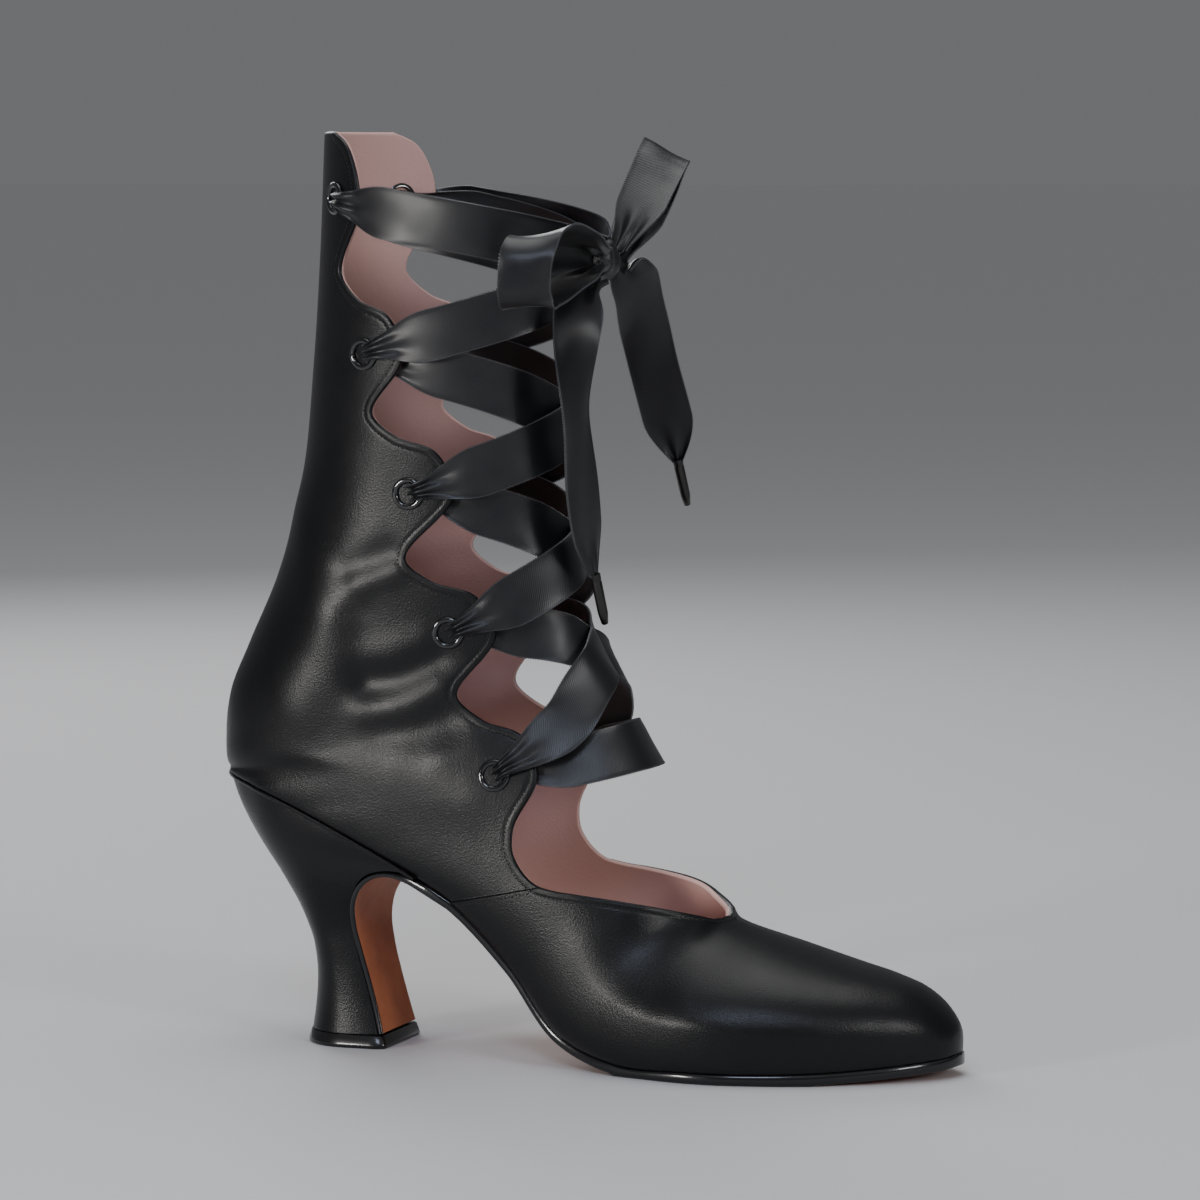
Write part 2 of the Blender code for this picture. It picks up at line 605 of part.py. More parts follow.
def build_outsole(material):
    rows = foot_rows("tip", "lap")
    waist = np.array([ease((WAIST_FROM - r["bottom_x"]) / WAIST_RUN) for r in rows])
    proud = SOLE_EDGE_PROUD + (WAIST_EDGE_PROUD - SOLE_EDGE_PROUD) * waist
    thick = SOLE_THICK + (WAIST_THICK - SOLE_THICK) * waist
    medial, lateral = (foot_edge(rows, name, proud) for name in ("medial", "lateral"))
    top = np.array([(r["bottom_x"], r["bottom_z"] - GAP) for r in rows])
    down = -path_normals(top)
    down[top[:, 0] > WAIST_FROM] = (0.0, -1.0)
    rings = []
    for i, (x, z) in enumerate(top):
        low = top[i] + down[i] * thick[i]
        flat = TREAD[0] < x < TREAD[1]
        low[1] = 0.0 if flat else max(low[1], 0.0)
        ahead = (medial[i, 0] - x, lateral[i, 0] - x)
        rings.append(edge_ring((x, z), low, medial[i, 1], lateral[i, 1], SOLE_EDGE_ROUND, ahead))
    for flap, inward in flap_stations():
        face = np.array((flap["front_x"], flap["front_z"]))
        rings.append(edge_ring(face + inward * flap["thick"], face, flap["half_medial"],
                               flap["half_lateral"], FLAP_EDGE_ROUND))
    make_solid("outsole", *loft(rings), material)


def bottom_height(x):
    rows = foot_rows("nose", "counter")[::-1]
    return float(np.interp(x, [r["bottom_x"] for r in rows], [r["bottom_z"] for r in rows]))


def build_insole(material):
    rows = foot_rows("nose", "counter")
    medial, lateral = (foot_edge(rows, name, -WALL - INSOLE_CLEAR) for name in ("medial", "lateral"))
    rings = []
    for i, row in enumerate(rows):
        if min(row["foot_medial"], row["foot_lateral"]) < INSOLE_END:
            continue
        (mx, my), (lx, ly) = medial[i], lateral[i]
        mz, lz = bottom_height(mx), bottom_height(lx)
        rings.append([(mx, -my, mz), (lx, ly, lz),
                      (lx, ly, lz + INSOLE_THICK), (mx, -my, mz + INSOLE_THICK)])
    make_solid("insole", *loft(rings), material)


HEEL_SLICE = 10  # points along each side of a slice of the heel


def seat_half(x):
    rows = foot_rows("lap", "counter")[::-1]
    halves = [(r["foot_medial"] + r["foot_lateral"]) / 2 for r in rows]
    return float(np.interp(x, [r["bottom_x"] for r in rows], halves))


def build_heel(material):
    rings = []
    slice_at = smooth_through([row[0] for row in HEEL], HEEL)
    for k, (flap, inward) in enumerate(flap_stations()[1:], 1):
        row, = named_rows(HEEL_COLUMNS, [slice_at(k / (FLAP_STATIONS - 1))])
        behind = flap["thick"] + GAP
        front_x, front_z = flap["front_x"] + inward[0] * behind, flap["front_z"] + inward[1] * behind
        share = min(max(row["seat_share"], 0.0), 1.0)
        side = []
        for j in range(HEEL_SLICE):
            depth = 1 - math.cos(j / (HEEL_SLICE - 1) * math.pi / 2)
            x = row["back_x"] + (front_x - row["back_x"]) * depth
            z = row["back_z"] + (front_z - row["back_z"]) * depth
            if depth < row["widest_at"]:
                y = row["half"] * math.sqrt(1 - (1 - depth / row["widest_at"]) ** 2)
            else:
                past = (depth - row["widest_at"]) / (1 - row["widest_at"])
                y = row["half"] + (row["half_front"] - row["half"]) * past ** 2
            y += (seat_half(x) - y) * share
            z += (bottom_height(x) - GAP - z) * share ** 4
            side.append((x, y, z))
        side[0] = (side[0][0], 0.0, side[0][2])
        rings.append([(x, -y, z) for x, y, z in side] + [p for p in side[:0:-1]])
    count = len(rings[0])
    points, faces = loft(rings, closed_ends=False)
    for base in (0, (len(rings) - 1) * count):
        for k in range(1, HEEL_SLICE - 1):
            faces.append((base + k, base + k + 1, base + count - k - 1, base + count - k))
        faces.append((base, base + 1, base + count - 1))
    make_solid("heel", points, faces, material)


def build_top_piece(material):
    foot = named_rows(HEEL_COLUMNS, HEEL)[-1]
    sole_end = named_rows(FLAP_COLUMNS, FLAP)[-1]
    along, across = TOP_PIECE_CORNER
    rings = []
    for z, proud in TOP_PIECE_RINGS:
        half, front = foot["half"] + proud, sole_end["front_x"] + proud
        middle = foot["back_x"] + TOP_PIECE_ROUND
        ring = []
        for k in range(TOP_PIECE_SIDES + 1):
            turn = math.pi * (k / TOP_PIECE_SIDES - 0.5)
            ring.append((middle - (TOP_PIECE_ROUND + proud) * math.cos(turn), half * math.sin(turn), z))
        ring += [(front - along, half, z), (front, half - across, z),
                 (front, across - half, z), (front - along, -half, z)]
        rings.append(ring)
    make_solid("heel_top_piece", *loft(rings), material)


# Ribbon lace

def lace_point(station, turn, height):
    # turn runs from -1 at the medial back, through 0 at the front, to 1 at the lateral back
    return proud_point(station, 1.0 - abs(turn), -1 if turn < 0 else 1, height)


def ribbon(middles, outs, widths):
    # A flat band along middles: outs point away from the leg, widths are its widths
    middles = np.asarray(middles, float)
    along = np.gradient(middles, axis=0)
    rings = []
    for p, t, n, w in zip(middles, along, outs, widths):
        t = t / np.linalg.norm(t)
        across = np.cross(n, t)
        across /= np.linalg.norm(across)
        up = np.cross(t, across)
        half, rise = across * w / 2, up * RIBBON_THICK / 2
        rings.append([p - half - rise, p + half - rise, p + half + rise, p - half + rise])
    return loft(rings)


def surface_run(start, end, height_at, lift=0.0, end_clear=EYELET_CLEAR):
    # Ribbon over the last between two (station, turn) places, gathered at its ends; lift raises its middle
    start, end = np.asarray(start, float), np.asarray(end, float)

    def place_at(t):
        return start + (end - start) * t + (lift * math.sin(math.pi * t), 0.0)

    share = np.linspace(0.0, 1.0, 200)
    fine = np.array([lace_point(*place_at(t), height_at(t)) for t in share])
    length = chord_knots(fine)
    kept = np.linspace(EYELET_CLEAR, length[-1] - end_clear, RIBBON_RINGS)
    middles, outs, widths = [], [], []
    for d in kept:
        t = float(np.interp(d, length, share))
        place = place_at(t)
        middles.append(lace_point(*place, height_at(t)))
        outs.append(last_normal(place[0], 1.0 - abs(place[1]), -1 if place[1] < 0 else 1))
        open_share = ease(min(d, length[-1] - d) / RIBBON_SPREAD)
        widths.append(RIBBON_GATHERED + (RIBBON_WIDTH - RIBBON_GATHERED) * open_share)
    return ribbon(middles, outs, widths)


def eyelet_place(i, side):
    station, around = find_on_last(*EYELETS[i])
    return station, side * (1.0 - around)


def crossing_height(t):
    return RIBBON_OVER + (RIBBON_UNDER - RIBBON_OVER) * ease((t - CROSS_DIVE[0]) / CROSS_DIVE[1])


def upper_crossing_height(t):
    # The run that comes from the medial eyelet lies over the other, pressed into it
    return crossing_height(t) + CROSS_PRESS * math.sin(math.pi * t)


def bar_height(t):
    return RIBBON_UNDER + BAR_STAND * math.sin(math.pi * t) ** 2


def top_height(t):
    return RIBBON_OVER + TOP_STAND * ease(t / TOP_RISE)


def build_lacing(material):
    bar = surface_run(eyelet_place(0, -1), eyelet_place(0, 1), bar_height, BAR_LIFT)
    make_solid("lace_bar", *bar, material)
    for i in range(len(EYELETS) - 1):
        runs = [surface_run(eyelet_place(i, side), eyelet_place(i + 1, -side), height, CROSS_LIFT[i])
                for side, height in ((-1, upper_crossing_height), (1, crossing_height))]
        cross = make_solid(f"lace_cross_{i + 1}", *runs[0], material)
        add_boolean(cross, make_solid(f"lace_cross_{i + 1}_other_run", *runs[1], material), "UNION")
    knot_station, _ = find_on_last(KNOT[0] - KNOT_STAND, KNOT[2])
    knot_clear = KNOT_SIZE[1] / 2 + GAP
    for name, side in (("medial", -1), ("lateral", 1)):
        run = surface_run(eyelet_place(len(EYELETS) - 1, side), (knot_station, 0.0), top_height,
                          end_clear=knot_clear)
        make_solid(f"lace_top_{name}", *run, material)


# Bow

def build_knot(material):
    rings = []
    angles = np.arange(KNOT_SIDES) * 2 * math.pi / KNOT_SIDES
    for k in range(1, KNOT_RINGS):
        turn = math.pi * k / KNOT_RINGS
        full = math.sin(turn) ** KNOT_ROUND / 2
        rings.append([(KNOT[0] + KNOT_SIZE[0] * full * math.cos(a),
                       KNOT[1] - KNOT_SIZE[1] / 2 * math.cos(turn),
                       KNOT[2] + KNOT_SIZE[2] * full * math.sin(a)) for a in angles])
    make_solid("bow_knot", *loft(rings), material)


def free_ribbon(route, count, across, end_width):
    # A band gathered at the knot, whose width turns through the directions of across
    middles = smooth_path(route, count)
    along = np.gradient(middles, axis=0)
    length = chord_knots(middles)
    across = np.asarray(across, float)
    turns = np.diff(across, axis=0)
    outs, widths = [], []
    for t, d in zip(along, length):
        reached = d / length[-1] * len(turns)
        width_way = across[0] + sum(turn * ease(reached - k) for k, turn in enumerate(turns))
        outs.append(np.cross(t / np.linalg.norm(t), width_way))
        width = RIBBON_GATHERED + (RIBBON_WIDTH - RIBBON_GATHERED) * ease(d / BOW_SPREAD)
        past = ease((d - length[-1]) / BOW_SPREAD + 1)
        widths.append(width + (end_width - width) * past)
    return ribbon(middles, outs, widths), middles


def build_bow(ribbon_material, aglet_material):
    build_knot(ribbon_material)
    for name, route, across in (("medial", LOOP_MEDIAL, LOOP_MEDIAL_ACROSS),
                                ("lateral", LOOP_LATERAL, LOOP_LATERAL_ACROSS)):
        solid, _ = free_ribbon(route, LOOP_RINGS, across, RIBBON_GATHERED)
        make_solid(f"bow_loop_{name}", *solid, ribbon_material)
    for name, route, across in (("medial", TAIL_MEDIAL, TAIL_MEDIAL_ACROSS),
                                ("lateral", TAIL_LATERAL, TAIL_LATERAL_ACROSS)):
        solid, middles = free_ribbon(route, TAIL_RINGS, across, TAIL_POINT)
        make_solid(f"bow_tail_{name}", *solid, ribbon_material)
        down = middles[-1] - middles[-2]
        down /= np.linalg.norm(down)
        aglet = turned((middles[-1], down), AGLET_PROFILE, AGLET_SIDES)
        make_solid(f"aglet_{name}", *aglet, aglet_material)


def main():
    clear_scene()
    calf = make_material("black_calf", (0.012, 0.012, 0.014), 0.38)
    sole_leather = make_material("tan_sole_leather", (0.37, 0.12, 0.045), 0.65)
    sock = make_material("rose_sock_leather", (0.50, 0.23, 0.19), 0.6)
    heel_cover = make_material("black_heel_leather", (0.012, 0.012, 0.014), 0.34)
    lift = make_material("black_top_piece", (0.010, 0.010, 0.011), 0.3)
    enamel = make_material("black_enamel", (0.008, 0.008, 0.009), 0.18, 0.3)
    satin = make_material("black_satin_ribbon", (0.014, 0.014, 0.016), 0.42)
    gunmetal = make_material("gunmetal", (0.05, 0.048, 0.046), 0.3, 1.0)
    build_upper(calf)
    build_outsole(sole_leather)
    build_insole(sock)
    build_heel(heel_cover)
    build_top_piece(lift)
    build_eyelets(enamel)
    build_lacing(satin)
    build_bow(satin, gunmetal)


main()
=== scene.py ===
import math

import bpy
import numpy as np
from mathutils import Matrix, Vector


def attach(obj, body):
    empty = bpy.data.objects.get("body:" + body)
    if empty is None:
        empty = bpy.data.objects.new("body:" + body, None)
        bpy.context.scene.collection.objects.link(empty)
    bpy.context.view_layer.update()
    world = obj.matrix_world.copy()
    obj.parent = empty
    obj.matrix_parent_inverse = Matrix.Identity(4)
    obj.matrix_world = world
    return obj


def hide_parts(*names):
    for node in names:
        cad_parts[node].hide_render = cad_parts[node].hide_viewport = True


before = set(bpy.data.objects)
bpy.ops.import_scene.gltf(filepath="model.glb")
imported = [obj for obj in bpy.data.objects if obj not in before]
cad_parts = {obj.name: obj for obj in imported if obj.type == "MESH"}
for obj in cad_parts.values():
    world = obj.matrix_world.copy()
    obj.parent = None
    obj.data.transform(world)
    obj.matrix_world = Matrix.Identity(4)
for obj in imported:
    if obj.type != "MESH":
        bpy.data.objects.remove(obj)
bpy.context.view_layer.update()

# shapes are drawn in millimetres from the back of the heel, and moved to the part's origin in metres
centre = np.array((120.93, 0.75, 0.0))
wall = 2.2  # upper leather with its lining
gap = 0.3  # sole to the upper and to the heel
tiny = 1e-6

print("last")
sectionNames = ("bottomX", "bottomZ", "topX", "topZ", "footMedial", "footLateral",
                "wideMedial", "wideLateral", "ridgeY", "widestAt", "bottomPow", "topPow")
sections = {
    "tip": (242.2, 7.9, 242.2, 12.8, 1.4, 1.4, 1.8, 1.8, 0.0, 0.45, 2.0, 2.0),
    "nose": (241.3, 7.7, 241.4, 15.6, 4.7, 4.7, 5.3, 5.3, 0.0, 0.45, 2.0, 2.0),
    "toeFront": (239.5, 7.2, 239.7, 18.2, 8.0, 8.0, 8.8, 8.7, 0.0, 0.44, 2.0, 2.0),
    "toeRound": (236.0, 6.8, 236.2, 22.0, 12.4, 12.2, 13.3, 13.0, 0.0, 0.42, 2.0, 2.1),
    "toeSide": (230.0, 6.2, 230.3, 26.2, 17.6, 17.0, 18.7, 18.0, 0.0, 0.40, 2.0, 2.1),
    "toeCap": (220.0, 5.3, 220.5, 29.8, 24.0, 22.9, 25.3, 24.2, 0.0, 0.38, 2.0, 2.1),
    "toes": (207.0, 4.4, 208.0, 33.2, 30.6, 29.0, 32.2, 30.6, -0.5, 0.36, 2.0, 2.0),
    "joint": (189.0, 3.9, 190.5, 38.4, 36.8, 35.6, 38.8, 37.8, -1.5, 0.34, 2.0, 1.85),
    "throat": (165.0, 3.8, 168.0, 46.2, 39.6, 40.6, 42.2, 43.4, -2.0, 0.33, 2.0, 1.55),
    "ball": (143.0, 3.9, 165.6, 51.4, 35.4, 40.4, 40.0, 43.6, -2.0, 0.34, 2.0, 1.5),
    "arch": (122.0, 10.6, 164.0, 56.6, 29.4, 36.4, 36.6, 41.0, -2.0, 0.35, 2.0, 1.6),
    "waist": (104.0, 31.4, 163.0, 61.8, 26.6, 33.2, 34.0, 38.4, -2.0, 0.36, 2.0, 1.9),
    "lap": (84.0, 51.0, 161.0, 66.8, 27.4, 31.4, 32.6, 36.0, -1.5, 0.36, 2.0, 2.2),
    "shank": (72.0, 58.6, 157.0, 74.5, 28.6, 30.8, 31.8, 34.6, -1.5, 0.36, 2.0, 2.5),
    "breast": (58.0, 66.0, 151.5, 83.0, 29.2, 30.2, 31.3, 33.4, -1.0, 0.36, 2.0, 2.5),
    "seat": (34.0, 77.4, 145.0, 94.0, 28.4, 28.8, 31.0, 32.2, -1.0, 0.35, 2.0, 2.5),
    "seatBack": (13.6, 84.8, 139.0, 104.5, 22.6, 22.6, 30.6, 31.4, -0.5, 0.33, 1.85, 2.5),
    "seatEnd": (2.2, 87.6, 135.0, 111.5, 11.6, 11.6, 30.3, 30.8, 0.0, 0.31, 1.8, 2.5),
    "counter": (-0.4, 88.8, 131.5, 118.0, 0.0, 0.0, 30.0, 30.4, 0.0, 0.30, 2.25, 2.5),
    "bulge": (-1.8, 99.5, 127.5, 126.5, 0.0, 0.0, 29.8, 30.2, 0.0, 0.30, 2.2, 2.5),
    "cleft": (-0.4, 113.0, 124.0, 135.0, 0.0, 0.0, 29.6, 30.2, 0.0, 0.31, 2.1, 2.5),
    "tendon": (5.6, 128.0, 121.0, 144.5, 0.0, 0.0, 29.8, 30.6, 0.0, 0.34, 2.0, 2.5),
    "ankle": (15.6, 150.0, 118.0, 160.5, 0.0, 0.0, 30.4, 31.4, 0.0, 0.39, 2.0, 2.4),
    "neck": (24.6, 182.0, 115.8, 187.0, 0.0, 0.0, 30.8, 31.8, 0.0, 0.43, 2.0, 2.3),
    "calfLow": (29.0, 218.0, 115.6, 221.0, 0.0, 0.0, 33.0, 33.6, 0.0, 0.46, 2.0, 2.2),
    "calf": (31.6, 250.0, 119.0, 252.0, 0.0, 0.0, 35.8, 36.2, 0.0, 0.47, 2.0, 2.2),
    "collar": (33.8, 292.0, 129.5, 292.0, 0.0, 0.0, 39.4, 39.6, 0.0, 0.47, 2.0, 2.2),
}
vampTop = ((168.0, 46.2), (166.2, 46.5), (163.2, 47.8), (156.0, 50.3), (148.1, 52.4), (138.7, 54.0),
           (127.5, 55.4), (119.0, 56.4))
quarterFoot = ((113.8, 57.8), (108.1, 62.9), (105.5, 68.0))
tabs = (((105.4, 74.0), (112.6, 92.5)), ((86.0, 114.6), (97.6, 136.5)), ((70.0, 157.2), (85.4, 181.0)),
        ((59.0, 203.2), (70.0, 223.0)), ((47.6, 246.2), (55.6, 270.5)))  # valley, tip
collarCurve = ((53.6, 281.5), (49.6, 288.6), (44.0, 292.0))
eyelets = ((99.3, 91.6), (83.2, 135.8), (71.2, 179.5), (56.8, 223.0), (45.6, 271.5))


def unit(v):
    v = np.asarray(v, float)
    return v / np.linalg.norm(v, axis=-1, keepdims=True)


def ease(t):
    t = np.clip(t, 0.0, 1.0)
    return t * t * (3 - 2 * t)


def smoothThrough(knots, values):
    knots, values = np.asarray(knots, float), np.asarray(values, float)
    step = np.diff(knots)
    rise = np.diff(values, axis=0) / step[:, None]
    middle = (rise[:-1] * step[1:, None] + rise[1:] * step[:-1, None]) / (step[1:] + step[:-1])[:, None]
    slope = np.vstack([rise[:1], middle, rise[-1:]])

    def at(t):
        t = np.asarray(t, float)
        i = np.clip(np.searchsorted(knots, t) - 1, 0, len(step) - 1)
        h = np.asarray(step[i])[..., None]
        u = np.asarray(t - knots[i])[..., None] / h
        return ((1 + 2 * u) * (1 - u) ** 2 * values[i] + u * u * (3 - 2 * u) * values[i + 1]
                + u * (1 - u) ** 2 * h * slope[i] + u * u * (u - 1) * h * slope[i + 1])
    return at


def chord(points):
    return np.concatenate(([0.0], np.cumsum(np.linalg.norm(np.diff(points, axis=0), axis=1))))


def alongPath(at, length, points):
    return np.stack([np.interp(at, length, points[:, k]) for k in range(3)], 1)


def smoothPath(points, count):
    points = np.asarray(points, float)
    knots = chord(points)
    return smoothThrough(knots, points)(np.linspace(0.0, knots[-1], count))


sectionTable = np.array(list(sections.values()))
stations = chord(sectionTable[:, :4])
stationOf = dict(zip(sections, stations))
sectionCurve = smoothThrough(stations, sectionTable)


def sectionAt(station):
    values = sectionCurve(station)
    s = {name: values[..., k] for k, name in enumerate(sectionNames)}
    closed = np.asarray(station) >= stationOf["counter"] - tiny
    for key in ("footMedial", "footLateral"):
        s[key] = np.where(closed, 0.0, np.maximum(s[key], 0.0))
    return s


def spread(station, around, side):
    return np.broadcast_arrays(*(np.asarray(v, float) for v in (station, around, side)))


def lastPoint(station, around, side):
    # around is 0 at the bottom or back and 1 at the top or front, side is -1 medial and 1 lateral
    station, around, side = spread(station, around, side)
    s = sectionAt(station)
    foot = np.where(side < 0, s["footMedial"], s["footLateral"])
    wide = np.where(side < 0, s["wideMedial"], s["wideLateral"])
    split = s["widestAt"]
    low = np.clip(around / split, 0, 1) * math.pi / 2
    high = np.clip((around - split) / (1 - split), 0, 1) * math.pi / 2
    lowPow, highPow = 2 / s["bottomPow"], 2 / s["topPow"]
    below = around < split
    height = np.where(below, split * (1 - np.cos(low).clip(0) ** lowPow),
                      split + (1 - split) * np.sin(high).clip(0) ** highPow)
    y = np.where(below, side * (foot + (wide - foot) * np.sin(low).clip(0) ** lowPow),
                 s["ridgeY"] + (side * wide - s["ridgeY"]) * np.cos(high).clip(0) ** highPow)
    x = s["bottomX"] + (s["topX"] - s["bottomX"]) * height
    z = s["bottomZ"] + (s["topZ"] - s["bottomZ"]) * height
    return np.stack([x, y, z], -1)


normalValues = dict(openWidth=12.0, low=0.05, openLow=0.40, high=0.96, rowStep=0.5,
                    turnStep=0.01)


def lastNormal(station, around, side):
    # next to the ends of a section the normal is taken further in, and turned towards the middle
    v = normalValues
    station, around, side = spread(station, around, side)
    s = sectionAt(station)
    foot = np.where(side < 0, s["footMedial"], s["footLateral"])
    openShare = np.minimum(foot / v["openWidth"], 1.0)
    low = v["low"] + (v["openLow"] * s["widestAt"] - v["low"]) * openShare
    a = np.clip(around, low, v["high"])
    row = np.clip(station, stations[1] / 2, stations[-1] - v["rowStep"])
    along = lastPoint(row + v["rowStep"], a, side) - lastPoint(row - v["rowStep"], a, side)
    across = lastPoint(row, a + v["turnStep"], side) - lastPoint(row, a - v["turnStep"], side)
    normal = unit(np.cross(along, across) * side[..., None])
    turn = np.where(around > a, (1 - around) / (1 - a), openShare + (1 - openShare) * around / a)
    normal[..., 1] *= np.where(around == a, 1.0, turn)
    return unit(normal)


def proudPoint(station, around, side, height):
    normal = lastNormal(station, around, side)
    return lastPoint(station, around, side) + np.asarray(height)[..., None] * normal


halvings = 50


def findOnLast(x, z):
    # station and around of a place in the side view
    x, z = np.asarray(x, float), np.asarray(z, float)
    low, high = np.full(x.shape, stationOf["joint"]), np.full(x.shape, stations[-1])

    def fromBottom(station):
        s = sectionAt(station)
        return s, x - s["bottomX"], z - s["bottomZ"], s["topX"] - s["bottomX"], s["topZ"] - s["bottomZ"]

    for _ in range(halvings):
        middle = (low + high) / 2
        s, px, pz, dx, dz = fromBottom(middle)
        past = px * dz - pz * dx < 0
        low, high = np.where(past, middle, low), np.where(past, high, middle)
    s, px, pz, dx, dz = fromBottom(low)
    height = np.clip((px * dx + pz * dz) / (dx * dx + dz * dz), 0.0, 1.0)
    split = s["widestAt"]
    under = np.clip(1 - height / split, 0, 1) ** (s["bottomPow"] / 2)
    over = np.clip((height - split) / (1 - split), 0, 1) ** (s["topPow"] / 2)
    around = np.where(height < split, split * np.arccos(under), split * math.pi / 2
                      + (1 - split) * np.arcsin(over)) / (math.pi / 2)
    return low, around


print("materials")


def newMaterial(name, colour, roughness, **more):
    material = bpy.data.materials.new(name)
    material.use_nodes = True
    shader = material.node_tree.nodes["Principled BSDF"]
    shader.inputs["Base Color"].default_value = (*colour, 1.0)
    shader.inputs["Roughness"].default_value = roughness
    for key, value in more.items():
        shader.inputs[key.replace("_", " ")].default_value = value
    return material, material.node_tree, shader


def addNode(tree, kind, *links, **values):
    node = tree.nodes.new(kind)
    for key, value in values.items():
        node.inputs[key.replace("_", " ")].default_value = value
    for socket, key in links:
        tree.links.new(socket, node.inputs[key])
    return node


def addBump(tree, shader, height, strength, distance):
    # each new bump starts from the normal of the ones before it
    bump = addNode(tree, "ShaderNodeBump", (height, "Height"), Strength=strength, Distance=distance)
    socket = shader.inputs["Normal"]
    if socket.is_linked:
        tree.links.new(socket.links[0].from_socket, bump.inputs["Normal"])
    tree.links.new(bump.outputs["Normal"], socket)


def remap(tree, value, fromMin, fromMax, toMin, toMax):
    node = addNode(tree, "ShaderNodeMapRange", (value, "Value"), From_Min=fromMin, From_Max=fromMax,
                   To_Min=toMin, To_Max=toMax)
    return node.outputs["Result"]


def noiseOf(tree, place, scale, detail=3.0, rough=0.55):
    return addNode(tree, "ShaderNodeTexNoise", (place, "Vector"), Scale=scale, Detail=detail,
                   Roughness=rough).outputs["Fac"]


def grainOf(tree, place, scale):
    return addNode(tree, "ShaderNodeTexVoronoi", (place, "Vector"), Scale=scale).outputs["Distance"]


def addRamp(tree, shader, value, *stops):
    ramp = addNode(tree, "ShaderNodeValToRGB", (value, "Fac"))
    for element, (position, colour) in zip(ramp.color_ramp.elements, stops):
        element.position, element.color = position, (*colour, 1.0)
    tree.links.new(ramp.outputs["Color"], shader.inputs["Base Color"])


cloudSpan = (0.3, 0.7)  # most of a noise lies between these
bumpDepth = dict(grain=0.0003, pores=0.0004, wave=0.002)  # in metres


def leather(name, colour, look):
    rough, span = look["roughness"], look["roughnessSpan"]
    material, tree, shader = newMaterial(
        name, colour, rough, Coat_Weight=look["coat"], Coat_Roughness=look["coatRoughness"],
        Specular_IOR_Level=look["specular"])
    place = tree.nodes.new("ShaderNodeTexCoord").outputs["Object"]
    cloud = noiseOf(tree, place, look["cloudScale"])
    tree.links.new(remap(tree, cloud, *cloudSpan, rough - span, rough + span), shader.inputs["Roughness"])
    heights = {"grain": grainOf(tree, place, look["grainScale"]),
               "pores": noiseOf(tree, place, look["poreScale"], 5.0),
               "wave": noiseOf(tree, place, look["waveScale"], 2.0)}
    for kind, height in heights.items():
        addBump(tree, shader, height, look[kind], bumpDepth[kind])
    return material, tree, shader, place


calfBlack = (0.0035, 0.0036, 0.0042)
calfLook = dict(
    roughness=0.33, roughnessSpan=0.04, coat=0.0, coatRoughness=0.3, specular=0.26,
    cloudScale=60.0, grainScale=2400.0, grain=0.13, poreScale=1500.0, pores=0.18,
    waveScale=45.0, wave=0.1)
calf = leather("blackCalf", calfBlack, calfLook)[0]

liningLook = dict(
    roughness=0.62, roughnessSpan=0.06, coat=0.0, coatRoughness=0.5, specular=0.3,
    cloudScale=40.0, grainScale=1200.0, grain=0.12, poreScale=700.0, pores=0.15,
    waveScale=30.0, wave=0.15)
lining = leather("roseLining", (0.56, 0.34, 0.30), liningLook)[0]

heelLook = dict(calfLook, roughness=0.3, wave=0.05, grain=0.12, pores=0.2)
heelCalf = leather("heelCalf", calfBlack, heelLook)[0]

edgeLook = dict(calfLook, roughness=0.22, coat=0.4, coatRoughness=0.12, grain=0.02, pores=0.05, wave=0.05)
soleEdge = leather("soleEdge", (0.006, 0.006, 0.0075), edgeLook)[0]

tanLook = dict(
    roughness=0.6, roughnessSpan=0.08, coat=0.0, coatRoughness=0.5, specular=0.35,
    cloudScale=35.0, grainScale=2200.0, grain=0.1, poreScale=1300.0, pores=0.22,
    waveScale=60.0, wave=0.08, mottleScale=90.0)
tanDark, tanLight = (0.30, 0.088, 0.033), (0.40, 0.130, 0.052)
tan, tanTree, tanShader, tanPlace = leather("tanSole", (0.36, 0.115, 0.045), tanLook)
mottle = noiseOf(tanTree, tanPlace, tanLook["mottleScale"], 4.0)
addRamp(tanTree, tanShader, mottle, (cloudSpan[0], tanDark), (cloudSpan[1], tanLight))

sock = leather("roseSock", (0.58, 0.35, 0.31), dict(liningLook, roughness=0.55))[0]
liftBlack = leather("liftBlack", (0.006, 0.006, 0.0065), dict(edgeLook, roughness=0.26))[0]
enamel = newMaterial("blackEnamel", (0.004, 0.004, 0.0045), 0.12, Coat_Weight=0.6, Coat_Roughness=0.05)[0]

gunLook = dict(roughness=0.32, noiseScale=600.0, bump=0.1, depth=0.0003)
gunmetal, gunTree, gunShader = newMaterial("gunmetal", (0.05, 0.048, 0.046), gunLook["roughness"],
                                           Metallic=1.0)
gunPlace = gunTree.nodes.new("ShaderNodeTexCoord").outputs["Object"]
gunNoise = noiseOf(gunTree, gunPlace, gunLook["noiseScale"])
addBump(gunTree, gunShader, gunNoise, gunLook["bump"], gunLook["depth"])

thread = newMaterial("blackThread", (0.002, 0.002, 0.0024), 0.7)[0]


